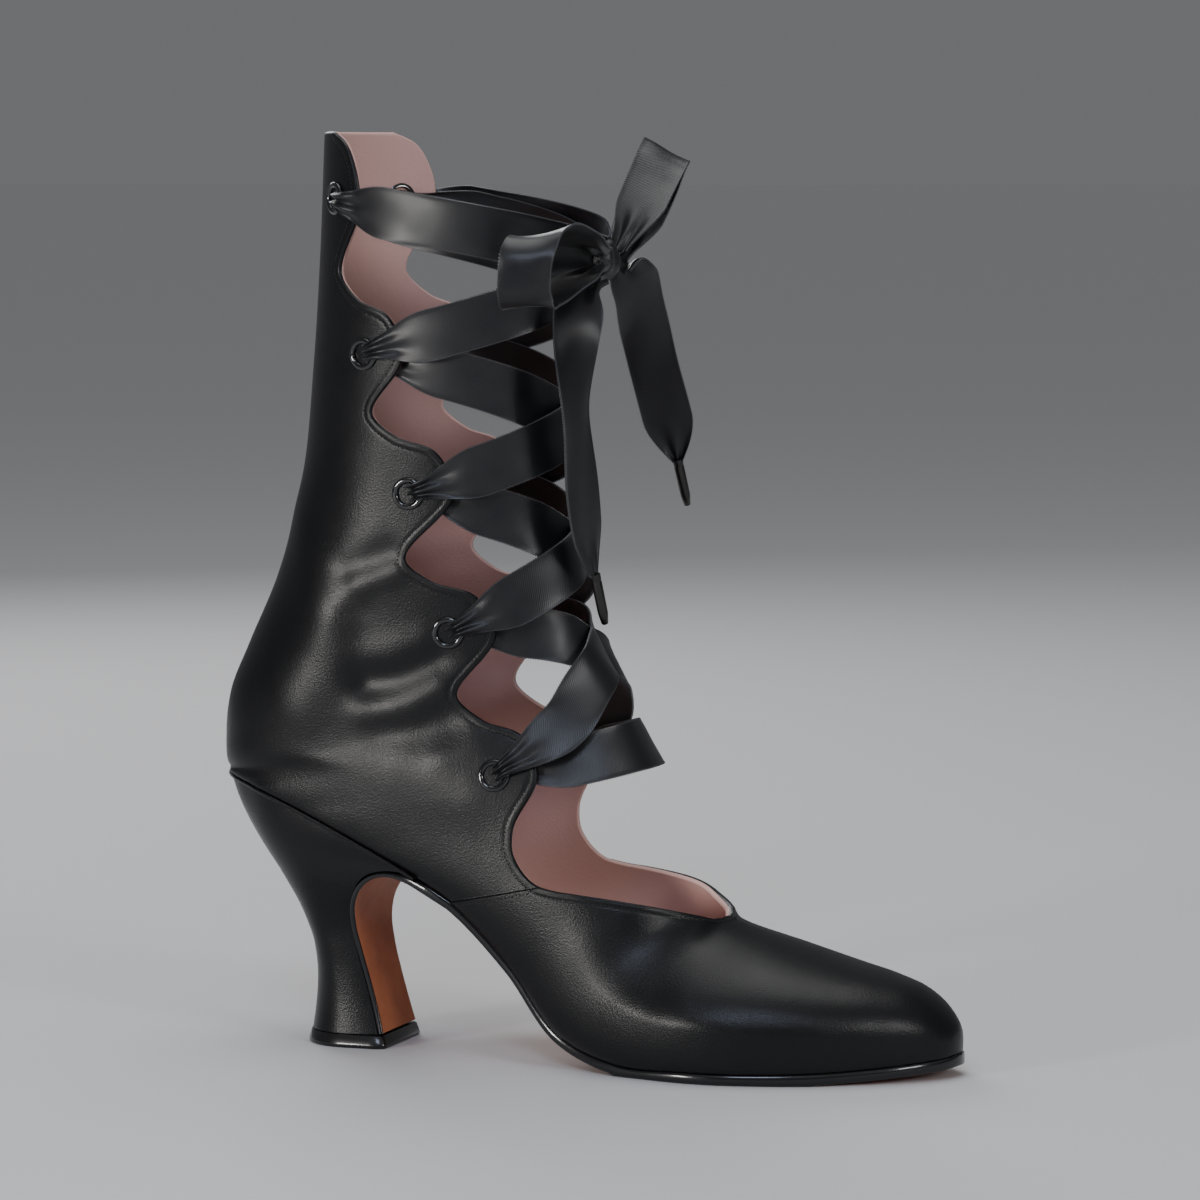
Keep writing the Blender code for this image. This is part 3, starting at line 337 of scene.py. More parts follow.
def satinMaterial():
    # the ribbon's own crosswise and lengthwise coordinates are in its uv map, in millimetres
    # the lighter edge colour is a painted highlight; it stands in for the light that the picot loops along
    # the edges catch
    look = dict(colour=(0.005, 0.0052, 0.0066), edgeHighlightColour=(0.032, 0.033, 0.037), roughness=0.36,
                smoother=0.05, rougher=0.06, cloudScale=0.09, twill=0.5, twillTurn=0.9,
                twillDepth=0.00005, edge=7.8, edgeSoft=0.1)
    rough, rimAt, soft = look["roughness"], look["edge"], look["edgeSoft"]
    material, tree, shader = newMaterial("blackSatin", look["colour"], rough, Specular_IOR_Level=0.45,
                                         Sheen_Weight=0.05, Sheen_Roughness=0.35)
    place = tree.nodes.new("ShaderNodeTexCoord").outputs["UV"]
    slant = addNode(tree, "ShaderNodeMapping", (place, "Vector"), Rotation=(0.0, 0.0, look["twillTurn"]))
    wave = addNode(tree, "ShaderNodeTexWave", (slant.outputs["Vector"], "Vector"), Scale=0.5, Distortion=0.3)
    addBump(tree, shader, wave.outputs["Fac"], look["twill"], look["twillDepth"])
    split = addNode(tree, "ShaderNodeSeparateXYZ", (place, "Vector"))
    side = addNode(tree, "ShaderNodeMath", (split.outputs["X"], 0))
    side.operation = "ABSOLUTE"
    # painted highlight: the outermost strip of the ribbon and its edge beads get the lighter edge colour
    highlightRim = remap(tree, side.outputs[0], rimAt - soft, rimAt + soft, 0.0, 1.0)
    addRamp(tree, shader, highlightRim, (0.0, look["colour"]), (1.0, look["edgeHighlightColour"]))
    cloud = noiseOf(tree, place, look["cloudScale"], 2.0)
    varied = remap(tree, cloud, *cloudSpan, rough - look["smoother"], rough + look["rougher"])
    tree.links.new(varied, shader.inputs["Roughness"])
    return material


satin = satinMaterial()


def inMetres(points):
    return [tuple(point) for point in ((np.asarray(points) - centre) * 0.001).tolist()]


def addObject(name, data):
    thing = bpy.data.objects.new(name, data)
    bpy.context.scene.collection.objects.link(thing)
    return thing


def makePiece(name, points, faces, materials, faceMaterials=None, smoothAngle=None):
    mesh = bpy.data.meshes.new(name)
    mesh.from_pydata(inMetres(points), [], faces)
    for material in materials:
        mesh.materials.append(material)
    if faceMaterials is not None:
        mesh.polygons.foreach_set("material_index", np.asarray(faceMaterials, np.int32))
    mesh.shade_smooth()
    if smoothAngle:
        mesh.set_sharp_from_angle(angle=math.radians(smoothAngle))
    mesh.update()
    return addObject(name, mesh)


def settle(piece, slotName, *nodes):
    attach(piece, "root")
    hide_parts(*nodes)


def loftFaces(rings, count, endCaps=True):
    faces = []
    for i in range(rings - 1):
        for j in range(count):
            k = (j + 1) % count
            faces.append((i * count + j, i * count + k, (i + 1) * count + k, (i + 1) * count + j))
    if endCaps:
        faces.append(tuple(range(count))[::-1])
        faces.append(tuple((rings - 1) * count + j for j in range(count)))
    return faces


def circle(first, second, count):
    angles = np.arange(count) * 2 * math.pi / count
    return np.cos(angles)[:, None] * first + np.sin(angles)[:, None] * second


def turned(middle, out, profile, segments, closedProfile):
    # profile is made of radius and height along out
    out = unit(out)
    first = unit(np.cross(out, (0.0, 0.0, 1.0)))
    ring = circle(first, np.cross(out, first), segments)
    points = np.vstack([middle + out * height + radius * ring for radius, height in profile])
    faces = loftFaces(len(profile), segments, not closedProfile)
    if closedProfile:
        end = (len(profile) - 1) * segments
        faces += [(end + j, end + (j + 1) % segments, (j + 1) % segments, j) for j in range(segments)]
    return points, faces


def joined(parts):
    points, faces, base = [], [], 0
    for partPoints, partFaces in parts:
        points.append(np.asarray(partPoints))
        faces += [tuple(v + base for v in face) for face in partFaces]
        base += len(partPoints)
    return np.vstack(points), faces


print("upper")
upperValues = dict(
    columns=60, columnPower=1.6, edgeSamples=9, edgeGap=0.12, rowGap=2.2, rowLeast=0.2,
    vampStep=0.9, lapWidth=0.5, creaseSamples=14, chunk=2000, rimSteps=6, rimBulge=0.45,
    holeRadius=4.2, holeReach=(6.0, -8.0), holeSides=40,
    scallop=((0.20, 0.50), (0.70, 0.72)))  # shares of the way from a tip to the next valley
edgeRoll = ((0.9, 0.55, 0.07), (2.0, 0.42, -0.10))  # distance from the edge, half width, height
# soft troughs and ridges: side, height, half width, and the way it runs in the side view
creases = (
    (-1, 1.5, 8.5, ((45, 138), (42, 124), (33, 113))),
    (-1, -0.8, 4.6, ((54, 140), (55, 129), (56, 118))),
    (-1, 0.7, 4.2, ((60, 128), (67, 129), (74, 131.5))),
    (-1, -0.9, 3.8, ((57, 120), (66, 121.5), (78, 127))),
    (-1, 0.8, 4.2, ((56, 110.5), (68, 112), (80, 118.5))),
    (-1, -0.5, 4.4, ((62, 103), (72, 104), (82, 108))),
    (-1, 0.4, 3.6, ((82, 97), (92, 101))),
    (-1, 0.6, 3.0, ((54.5, 150.5), (61, 153), (66, 155))),
    (-1, -0.6, 3.4, ((50, 155), (57, 158), (64, 160.5))),
    (-1, 0.5, 6.0, ((26, 172), (34, 160), (36, 146))),
    (-1, 0.5, 7.0, ((70, 94), (80, 90), (90, 86))),
    (1, 0.8, 9.0, ((44, 136), (42, 122), (34, 112))),
    (1, -0.7, 4.2, ((56, 122), (66, 123), (78, 128))),
    (1, 0.7, 4.2, ((56, 112), (68, 113), (80, 119))),
    (1, -0.5, 4.4, ((62, 105), (74, 106), (84, 110))),
    (1, 0.5, 3.2, ((52, 150), (60, 153), (66, 155))),
    (1, -0.5, 3.6, ((50, 156), (58, 159), (65, 161))),
)


def edgeLine():
    v = upperValues
    points = list(vampTop) + list(quarterFoot)
    for i, (valley, tip) in enumerate(tabs):
        points += [valley, tip]
        if i + 1 < len(tabs):
            dx, dz = tabs[i + 1][0][0] - tip[0], tabs[i + 1][0][1] - tip[1]
            points += [(tip[0] + a * dx, tip[1] + b * dz) for a, b in v["scallop"]]
    points += collarCurve
    line = smoothPath(points, v["edgeSamples"] * (len(points) - 1) + 1)
    station, around = findOnLast(line[:, 0], line[:, 1])
    kept = [(stationOf["throat"], 1.0)]
    for s, a in zip(station[1:], around[1:]):
        if s > kept[-1][0] + v["edgeGap"]:
            kept.append((s, a))
    kept[-1] = (stations[-1], kept[-1][1])
    return np.array(kept)


edge = edgeLine()


def edgeAround(station):
    return np.where(station <= stationOf["throat"], 1.0, np.interp(station, edge[:, 0], edge[:, 1]))


def vampStep(station):
    return upperValues["vampStep"] * (1 - ease((station - stationOf["lap"]) / upperValues["lapWidth"] + 1))


def upperRows():
    throat, lap, width = stationOf["throat"], stationOf["lap"], upperValues["lapWidth"]
    fixed = {throat, lap - width, lap - width / 2, lap, stationOf["counter"], stations[-1]}
    rows = sorted(set(edge[:, 0]) | fixed | set(stations[stations <= throat]))
    kept = [rows[0]]
    for row in rows[1:]:
        if row - kept[-1] < upperValues["rowLeast"] and row not in fixed:
            continue
        pieces = max(1, math.ceil((row - kept[-1]) / upperValues["rowGap"]))
        kept += list(np.linspace(kept[-1], row, pieces + 1)[1:])
    return np.array(kept)


upperStations = upperRows()


def creaseHeight(points, side):
    height = np.zeros(len(points))
    for creaseSide, depth, width, way in creases:
        if creaseSide != side:
            continue
        line = smoothPath(way, upperValues["creaseSamples"])
        line = lastPoint(*findOnLast(line[:, 0], line[:, 1]), side)
        far = np.min(np.linalg.norm(points[:, None] - line[None], axis=2), axis=1)
        height += depth * np.exp(-far ** 2 / (2 * width ** 2))
    return height


def insideStation(station):
    start, full = stationOf["toeFront"], stationOf["toeCap"]
    return np.where(station >= full, station, start + station * (full - start) / full)


def edgeHeight(points, side):
    line = edgePoints(side)
    line = smoothPath(line, 2 * len(line))
    height, chunk = np.zeros(len(points)), upperValues["chunk"]
    for start in range(0, len(points), chunk):
        part = slice(start, start + chunk)
        far = np.min(np.linalg.norm(points[part, None] - line[None], axis=2), axis=1)
        height[part] = sum(h * np.exp(-((far - at) / width) ** 2) for at, width, h in edgeRoll)
    return height


def upperSkin(side):
    n = upperValues["columns"]
    station = np.repeat(upperStations[:, None], n + 1, 1)
    columns = 1 - (1 - np.linspace(0, 1, n + 1)) ** upperValues["columnPower"]
    around = edgeAround(upperStations)[:, None] * columns[None]
    shape = station.shape + (3,)
    station, around = station.ravel(), around.ravel()
    crease = creaseHeight(lastPoint(station, around, side), side)
    step = vampStep(station)
    roll = edgeHeight(proudPoint(station, around, side, step), side)
    outer = proudPoint(station, around, side, step + crease + roll).reshape(shape)
    inner = proudPoint(insideStation(station), around, side, crease - wall).reshape(shape)
    shut = upperStations >= stationOf["counter"] - tiny
    outer[shut, 0, 1] = inner[shut, 0, 1] = 0.0
    inner[~shut, 0, 2] = np.maximum(inner[~shut, 0, 2], outer[~shut, 0, 2])
    return outer, inner


def edgePoints(side):
    return proudPoint(edge[:, 0], edge[:, 1], side, vampStep(edge[:, 0]))


def buildUpper():
    n, steps = upperValues["columns"], upperValues["rimSteps"]
    skins = {side: upperSkin(side) for side in (-1, 1)}
    outer, inner, index, low = [], [], {}, []

    def vertex(i, j, side):
        onRidge = j == n and upperStations[i] <= stationOf["throat"] + tiny
        onBack = j == 0 and upperStations[i] >= stationOf["counter"] - tiny
        key = (i, j, 0 if onRidge or onBack else side)
        if key not in index:
            index[key] = len(outer)
            outer.append(skins[side][0][i, j])
            inner.append(skins[side][1][i, j])
            low.append(j == 0)
        return index[key]

    skin = []
    for i in range(len(upperStations) - 1):
        for j in range(n):
            for side in (-1, 1):
                quad = [vertex(i + a, j + b, side) for a, b in ((0, 0), (1, 0), (1, 1), (0, 1))]
                skin.append(tuple(dict.fromkeys(quad if side > 0 else quad[::-1])))
    toe = [vertex(0, j, 1) for j in range(n + 1)] + [vertex(0, j, -1) for j in range(n - 1, -1, -1)]
    skin.append(tuple(toe))
    outer, inner, count = np.array(outer), np.array(inner), len(outer)
    faces = skin + [tuple(v + count for v in reversed(face)) for face in skin]
    kinds = [0] * len(skin) + [1] * len(skin)

    # the cut edge is rounded, black outside and rose where the lining shows
    used = {(a, b) for face in skin for a, b in zip(face, face[1:] + face[:1])}
    border = sorted((a, b) for a, b in used if (b, a) not in used)
    rimIndex = {v: k for k, v in enumerate(sorted({v for pair in border for v in pair}))}
    away = np.zeros((len(rimIndex), 3))
    for a, b in border:
        out = unit(np.cross(outer[b] - outer[a], outer[a] - inner[a]))
        away[rimIndex[a]] += out
        away[rimIndex[b]] += out
    away = unit(away)
    rimPoints = []
    for k in range(1, steps):
        share = k / steps
        for v in sorted(rimIndex):
            bulge = 0.0 if low[v] else upperValues["rimBulge"] * math.sin(math.pi * share)
            rimPoints.append(outer[v] + (inner[v] - outer[v]) * share + bulge * away[rimIndex[v]])

    def rimVertex(v, k):
        if k == 0 or k == steps:
            return v if k == 0 else v + count
        return 2 * count + (k - 1) * len(rimIndex) + rimIndex[v]

    for a, b in border:
        for k in range(steps):
            faces.append((rimVertex(b, k), rimVertex(a, k), rimVertex(a, k + 1), rimVertex(b, k + 1)))
            kinds.append(0 if k < steps / 2 else 1)
    upper = makePiece("bootUpper", np.vstack([outer, inner, rimPoints]), faces, (calf, lining), kinds)

    bore = [(upperValues["holeRadius"], reach) for reach in upperValues["holeReach"]]
    bores = joined([turned(*eyeletAxis(i, side), bore, upperValues["holeSides"], False)
                    for i in range(len(eyelets)) for side in (-1, 1)])
    cutter = makePiece("holeCutter", *bores, (calf,))
    cut = upper.modifiers.new("holes", "BOOLEAN")
    cut.object, cut.operation, cut.solver = cutter, "DIFFERENCE", "EXACT"
    done = bpy.data.meshes.new_from_object(upper.evaluated_get(bpy.context.evaluated_depsgraph_get()))
    upper.modifiers.clear()
    upper.data = done
    bpy.data.objects.remove(cutter, do_unlink=True)
    settle(upper, "black_calf", "upper")


def eyeletAxis(i, side):
    station, around = findOnLast(*eyelets[i])
    return lastPoint(station, around, side), lastNormal(station, around, side)


buildUpper()

print("stitching")
stitchValues = dict(
    pitch=1.3, length=0.95, radius=0.22, inset=2.0, lift=-0.06, sides=6, first=0.4,
    sample=0.6, top=291.0, throatWay=(1.0, 0.0, -0.35), lapBehind=2.2, lapFrom=0.06,
    lapShort=0.03, lapSamples=60)
# share of a stitch's length, share of its radius, height
stitchShape = ((0.0, 0.25, -0.12), (0.12, 0.85, 0.02), (0.5, 1.0, 0.06), (0.88, 0.85, 0.02),
               (1.0, 0.25, -0.12))


def insetLine(side):
    # the edge moved inwards along the leather
    v = stitchValues
    points = edgePoints(side)
    length = chord(points)
    even = np.arange(0.0, length[-1], v["sample"])
    points = alongPath(even, length, points)
    points[1:-1] = (points[:-2] + 2 * points[1:-1] + points[2:]) / 4
    station = np.interp(even, length, edge[:, 0])
    around = np.interp(even, length, edge[:, 1])
    normal = lastNormal(station, around, side)
    inward = unit(np.cross(np.gradient(points, axis=0), normal) * side)
    inward[0] = unit(v["throatWay"])
    moved = points + v["inset"] * inward
    keep = moved[:, 2] < v["top"]
    return findOnLast(moved[keep, 0], moved[keep, 2])


def stitchRow(station, around, side):
    v = stitchValues
    points = proudPoint(station, around, side, vampStep(station) + v["lift"])
    points += creaseHeight(points, side)[:, None] * lastNormal(station, around, side)
    length = chord(points)
    share, thick, rise = np.array(stitchShape).T
    parts = []
    for start in np.arange(v["first"], length[-1] - v["length"], v["pitch"]):
        spine = alongPath(start + v["length"] * share, length, points)
        along = unit(spine[-1] - spine[0])
        out = lastNormal(np.interp(start, length, station), np.interp(start, length, around), side)
        first = unit(np.cross(along, out))
        ring = circle(first, np.cross(first, along), v["sides"])
        rings = np.vstack([p + d * out + r * ring for p, d, r in zip(spine, rise, v["radius"] * thick)])
        parts.append((rings, loftFaces(len(stitchShape), v["sides"])))
    return parts


def buildStitching():
    v = stitchValues
    parts = []
    for side in (-1, 1):
        parts += stitchRow(*insetLine(side), side)
        lap = stationOf["lap"] - v["lapBehind"]
        top = edgeAround(np.array(lap)) - v["lapShort"]
        around = np.linspace(v["lapFrom"], float(top), v["lapSamples"])
        parts += stitchRow(np.full(v["lapSamples"], lap), around, side)
    settle(makePiece("upperStitching", *joined(parts), (thread,)), "black_calf", "upper")


buildStitching()

print("eyelets")
eyeletValues = dict(bore=3.2, flange=5.2, dome=0.9, stand=0.15, domePoints=13, segments=48)
# radius, then height over the wall or depth inside it
eyeletBarrel = ((5.0, 0.0), (3.8, 0.0))
eyeletTail = ((3.8, 0.5), (4.5, 0.5), (4.6, 0.8), (4.1, 1.1), (3.5, 1.1), (3.2, 0.7))


def buildEyelets():
    v = eyeletValues
    middle, half = (v["bore"] + v["flange"]) / 2, (v["flange"] - v["bore"]) / 2
    profile = [(middle + half * math.cos(t), v["stand"] + v["dome"] * math.sin(t))
               for t in np.linspace(math.pi, 0, v["domePoints"])]
    profile += [*eyeletBarrel, *((radius, -wall - depth) for radius, depth in eyeletTail)]
    for name, side in (("medial", -1), ("lateral", 1)):
        for i in range(len(eyelets)):
            ring = turned(*eyeletAxis(i, side), profile, v["segments"], True)
            piece = makePiece(f"eyelet{name.title()}{i + 1}", *ring, (enamel,), smoothAngle=50)
            settle(piece, "black_enamel", f"eyelet_{name}_{i + 1}")


buildEyelets()

print("sole and heel")
soleValues = dict(
    edgeProud=1.5, waistProud=0.4, thick=3.6, waistThick=3.0, waistFrom=165.0,
    waistRun=60.0, blendRun=20.0, treadFrom=140.0, treadTo=205.0, edgeRound=1.1,
    flapRound=0.7, edgePower=0.7, edgePoints=9, underPoints=15, overShares=(0.25, 0.5, 0.75))
# front x and z, half widths, thickness
flapTable = (
    (75.0, 52.6, 28.4, 30.6, 3.0), (68.0, 55.9, 27.4, 28.8, 2.3), (61.0, 57.1, 25.4, 26.4, 1.7),
    (54.6, 55.4, 23.2, 23.8, 1.7), (50.0, 51.4, 20.8, 21.2, 1.7), (47.4, 46.0, 18.2, 18.4, 1.7),
    (47.0, 39.6, 16.0, 16.1, 1.7), (48.8, 30.2, 14.3, 14.3, 1.7), (51.8, 19.2, 13.7, 13.7, 1.7),
    (54.4, 9.6, 14.1, 14.1, 1.7), (55.6, 5.0, 14.6, 14.6, 1.7))
flapRows = 72
flap = smoothPath(flapTable, flapRows)


def sideNormals(path):
    slope = np.gradient(np.asarray(path, float), axis=0)
    return unit(np.stack([slope[:, 1], -slope[:, 0]], 1))


flapIn = sideNormals(flap[:, :2])


def footRows(first, last):
    inside = (upperStations >= stationOf[first] - tiny) & (upperStations <= stationOf[last] + tiny)
    return sectionAt(upperStations[inside])


def footEdge(rows, name, proud):
    line = np.stack([rows["bottomX"], rows["foot" + name]], 1)
    return line + np.reshape(proud, (-1, 1)) * sideNormals(line)


def soleRing(top, low, medial, lateral, roundIn, ahead):
    # flat above and below, with a half round edge on both sides
    turn = np.linspace(0.0, math.pi, soleValues["edgePoints"])
    down = (1 - np.cos(turn)) / 2
    push = np.sin(turn) ** soleValues["edgePower"] * roundIn - roundIn
    x, z = top[0] + (low[0] - top[0]) * down, top[1] + (low[1] - top[1]) * down
    left = np.stack([x + ahead[0], -(medial + push), z], 1)
    right = np.stack([x + ahead[1], lateral + push, z], 1)[::-1]
    share = np.linspace(0, 1, soleValues["underPoints"] + 2)[1:-1, None]
    under = left[-1] + (right[0] - left[-1]) * share
    over = right[-1] + (left[0] - right[-1]) * np.array(soleValues["overShares"])[:, None]
    return np.vstack([left, under, right, over])


def buildOutsole():
    v = soleValues
    rows = footRows("tip", "lap")
    waist = ease((v["waistFrom"] - rows["bottomX"]) / v["waistRun"])
    proud = v["edgeProud"] + (v["waistProud"] - v["edgeProud"]) * waist
    thick = v["thick"] + (v["waistThick"] - v["thick"]) * waist
    medial, lateral = footEdge(rows, "Medial", proud), footEdge(rows, "Lateral", proud)
    top = np.stack([rows["bottomX"], rows["bottomZ"] - gap], 1)
    down = -sideNormals(top)
    blend = ease((top[:, 0] - v["waistFrom"] + v["blendRun"]) / v["blendRun"])[:, None]
    down = unit(down * (1 - blend) + np.array((0.0, -1.0)) * blend)
    rings = []
    for i, (x, z) in enumerate(top):
        low = top[i] + down[i] * thick[i]
        low[1] = 0.0 if v["treadFrom"] < x < v["treadTo"] else max(low[1], 0.0)
        rings.append(soleRing(top[i], low, medial[i, 1], lateral[i, 1], v["edgeRound"],
                              (medial[i, 0] - x, lateral[i, 0] - x)))
    for row, inward in zip(flap, flapIn):
        face = row[:2]
        rings.append(soleRing(face + inward * row[4], face, row[2], row[3], v["flapRound"], (0.0, 0.0)))
    count = len(rings[0])
    faces = loftFaces(len(rings), count)
    edgeCount, underCount = v["edgePoints"], v["underPoints"]
    kinds = []
    for face in faces:
        j = face[0] % count
        kinds.append(1 if len(face) == 4 and edgeCount - 1 <= j < edgeCount + underCount else 0)
    settle(makePiece("bootOutsole", np.vstack(rings), faces, (soleEdge, tan), kinds, smoothAngle=50),
           "tan_sole_leather", "outsole")


buildOutsole()


def bottomHeight(x):
    rows = footRows("nose", "counter")
    return np.interp(x, rows["bottomX"][::-1], rows["bottomZ"][::-1])


insoleValues = dict(thick=2.2, clear=-0.9, end=12.0, points=17, dish=0.7,
                    round=0.5, roundPower=8)


def buildInsole():
    v = insoleValues
    rows = footRows("nose", "counter")
    medial, lateral = (footEdge(rows, name, -wall - v["clear"]) for name in ("Medial", "Lateral"))
    share = np.linspace(0, 1, v["points"])
    rings = []
    for i in range(len(medial)):
        if min(rows["footMedial"][i], rows["footLateral"][i]) < v["end"]:
            continue
        (mx, my), (lx, ly) = medial[i], lateral[i]
        x, y = mx + (lx - mx) * share, -my + (ly + my) * share
        base = bottomHeight(x)
        rounding = v["round"] * (1 - np.sqrt(np.clip(1 - (2 * share - 1) ** v["roundPower"], 0, 1)))
        top = base + v["thick"] - rounding - v["dish"] * np.sin(math.pi * share) ** 2
        rings.append(np.vstack([np.stack([x, y, base], 1), np.stack([x, y, top], 1)[::-1]]))
    faces = loftFaces(len(rings), len(rings[0]))
    piece = makePiece("bootSock", np.vstack(rings), faces, (sock,), smoothAngle=50)
    settle(piece, "rose_sock_leather", "insole")


buildInsole()

heelValues = dict(slicePoints=30, seatPower=4,
                  fold=((0.5, 0.14), (0.85, -0.2), (0.75, -0.7), (0.25, -1.1)))  # out and up
# share of the breast, back x and z, half width, half width in front, widest at, share of the seat's outline
heelTable = (
    (0.053, 0.3, 88.2, 29.4, 28.6, 0.60, 1.00), (0.110, 2.3, 83.0, 28.4, 27.0, 0.58, 0.80),
    (0.200, 5.6, 75.4, 26.4, 25.0, 0.56, 0.45), (0.300, 10.4, 66.0, 23.6, 22.6, 0.55, 0.15),
    (0.375, 16.6, 55.6, 20.6, 20.0, 0.55, 0.0), (0.445, 22.4, 45.8, 17.8, 17.2, 0.56, 0.0),
    (0.525, 26.4, 36.6, 15.6, 15.0, 0.57, 0.0), (0.655, 28.3, 28.0, 14.4, 13.6, 0.58, 0.0),
    (0.805, 28.5, 19.0, 14.2, 13.1, 0.58, 0.0), (0.935, 27.6, 10.0, 14.9, 13.5, 0.57, 0.0),
    (1.000, 26.8, 4.5, 15.6, 14.0, 0.56, 0.0))


def seatHalf(x):
    rows = footRows("lap", "counter")
    halves = (rows["footMedial"] + rows["footLateral"]) / 2
    return np.interp(x, rows["bottomX"][::-1], halves[::-1])


def buildHeel():
    n = heelValues["slicePoints"]
    sliceAt = smoothThrough([row[0] for row in heelTable], heelTable)
    depth = 1 - np.cos(np.linspace(0, 1, n) * math.pi / 2)
    rings = []
    first = int(math.ceil(heelTable[0][0] * (flapRows - 1)))
    for k in range(first, flapRows):
        _, backX, backZ, half, halfFront, widest, share = sliceAt(k / (flapRows - 1))
        share = min(max(share, 0.0), 1.0)
        front = flap[k, :2] + flapIn[k] * (flap[k, 4] + gap)
        x = backX + (front[0] - backX) * depth
        z = backZ + (front[1] - backZ) * depth
        y = np.where(depth < widest, half * np.sqrt(np.clip(1 - (1 - depth / widest) ** 2, 0, 1)),
                     half + (halfFront - half) * ((depth - widest) / (1 - widest)) ** 2)
        y = y + (seatHalf(x) - y) * share
        z = z + (bottomHeight(x) - gap - z) * share ** heelValues["seatPower"]
        y[0] = 0.0
        side = np.stack([x, y, z], 1)
        rings.append(np.vstack([side * (1, -1, 1), side[:0:-1]]))
        if k == first:
            # the leather is turned in along the seat
            out = -sideNormals(side[:, :2])
            out[0] = (-1.0, 0.0)
            for proud, up in heelValues["fold"]:
                turn = side + np.column_stack([proud * out, np.full(n, up)])
                turn[0, 1] = 0.0
                rings.append(np.vstack([turn * (1, -1, 1), turn[:0:-1]]))
    count = len(rings[0])
    faces = loftFaces(len(rings), count, False)
    for base in (0, (len(rings) - 1) * count):
        caps = [(base + k, base + k + 1, base + count - k - 1, base + count - k) for k in range(1, n - 1)]
        caps.append((base, base + 1, base + count - 1))
        faces += [cap[::-1] for cap in caps] if base == 0 else caps
    piece = makePiece("heelCover", np.vstack(rings), faces, (heelCalf,), smoothAngle=50)
    settle(piece, "black_heel_leather", "heel")


buildHeel()

liftValues = dict(
    round=15.0, cornerAlong=5.0, cornerAcross=2.2, cornerPoints=8, sides=40,
    # height, and how far it stands out
    rings=((4.2, -0.6), (4.2, 0.2), (3.9, 0.45), (1.5, 1.15), (0.9, 1.3), (0.3, 1.15), (0.0, 0.8)))


def buildLift():
    v = liftValues
    _, backX, _, half, _, _, _ = heelTable[-1]
    middle = backX + v["round"]
    turn = math.pi * (np.linspace(0, 1, v["sides"] + 1) - 0.5)
    corner = np.linspace(0, math.pi / 2, v["cornerPoints"])
    rings = []
    for z, proud in v["rings"]:
        wide, front = half + proud, flapTable[-1][0] + proud
        x = middle - (v["round"] + proud) * np.cos(turn)
        ring = np.stack([x, wide * np.sin(turn), np.full(len(turn), z)], 1)
        cx = front - v["cornerAlong"] + v["cornerAlong"] * np.sin(corner)
        cy = wide - v["cornerAcross"] + v["cornerAcross"] * np.cos(corner)
        right = np.stack([cx, cy, np.full(len(corner), z)], 1)
        rings.append(np.vstack([ring, right, (right * (1, -1, 1))[::-1]]))
    faces = loftFaces(len(rings), len(rings[0]))
    piece = makePiece("heelLift", np.vstack(rings), faces, (liftBlack,), smoothAngle=50)
    settle(piece, "black_top_piece", "heel_top_piece")


buildLift()

print("lacing")
ribbonValues = dict(
    width=16.0, thick=0.5, rimFrom=0.46, rimMore=0.5, inEyelet=4.6, opens=24.0,
    opensFrom=1.0, over=1.3, under=-wall - 1.2, fold=0.85, folds=2.0, foldFrom=0.5,
    foldRun=0.9, curl=0.35, phase=6.28, slow=(0.05, 0.09), drift=0.02, across=21,
    along=84, samples=240, aheadSamples=12, passage=12.0, between=26, farOff=99.0,
    barLift=7.0, barStand=2.4, crossLift=(15.0, 3.0, 0.0, 0.0), diveFrom=0.36, diveRun=0.28,
    press=0.42, topStand=1.6, topRise=0.7, knotStep=3.5, knotFrom=0.8, knotRun=0.2,
    beadPitch=0.8, beadStart=0.4, beadStop=0.3, bead=(0.28, 0.4, 0.42))
knot = np.array((126.0, -1.0, 252.5))
knotSize = np.array((9.0, 13.0, 13.0))
knotStand = 9.0


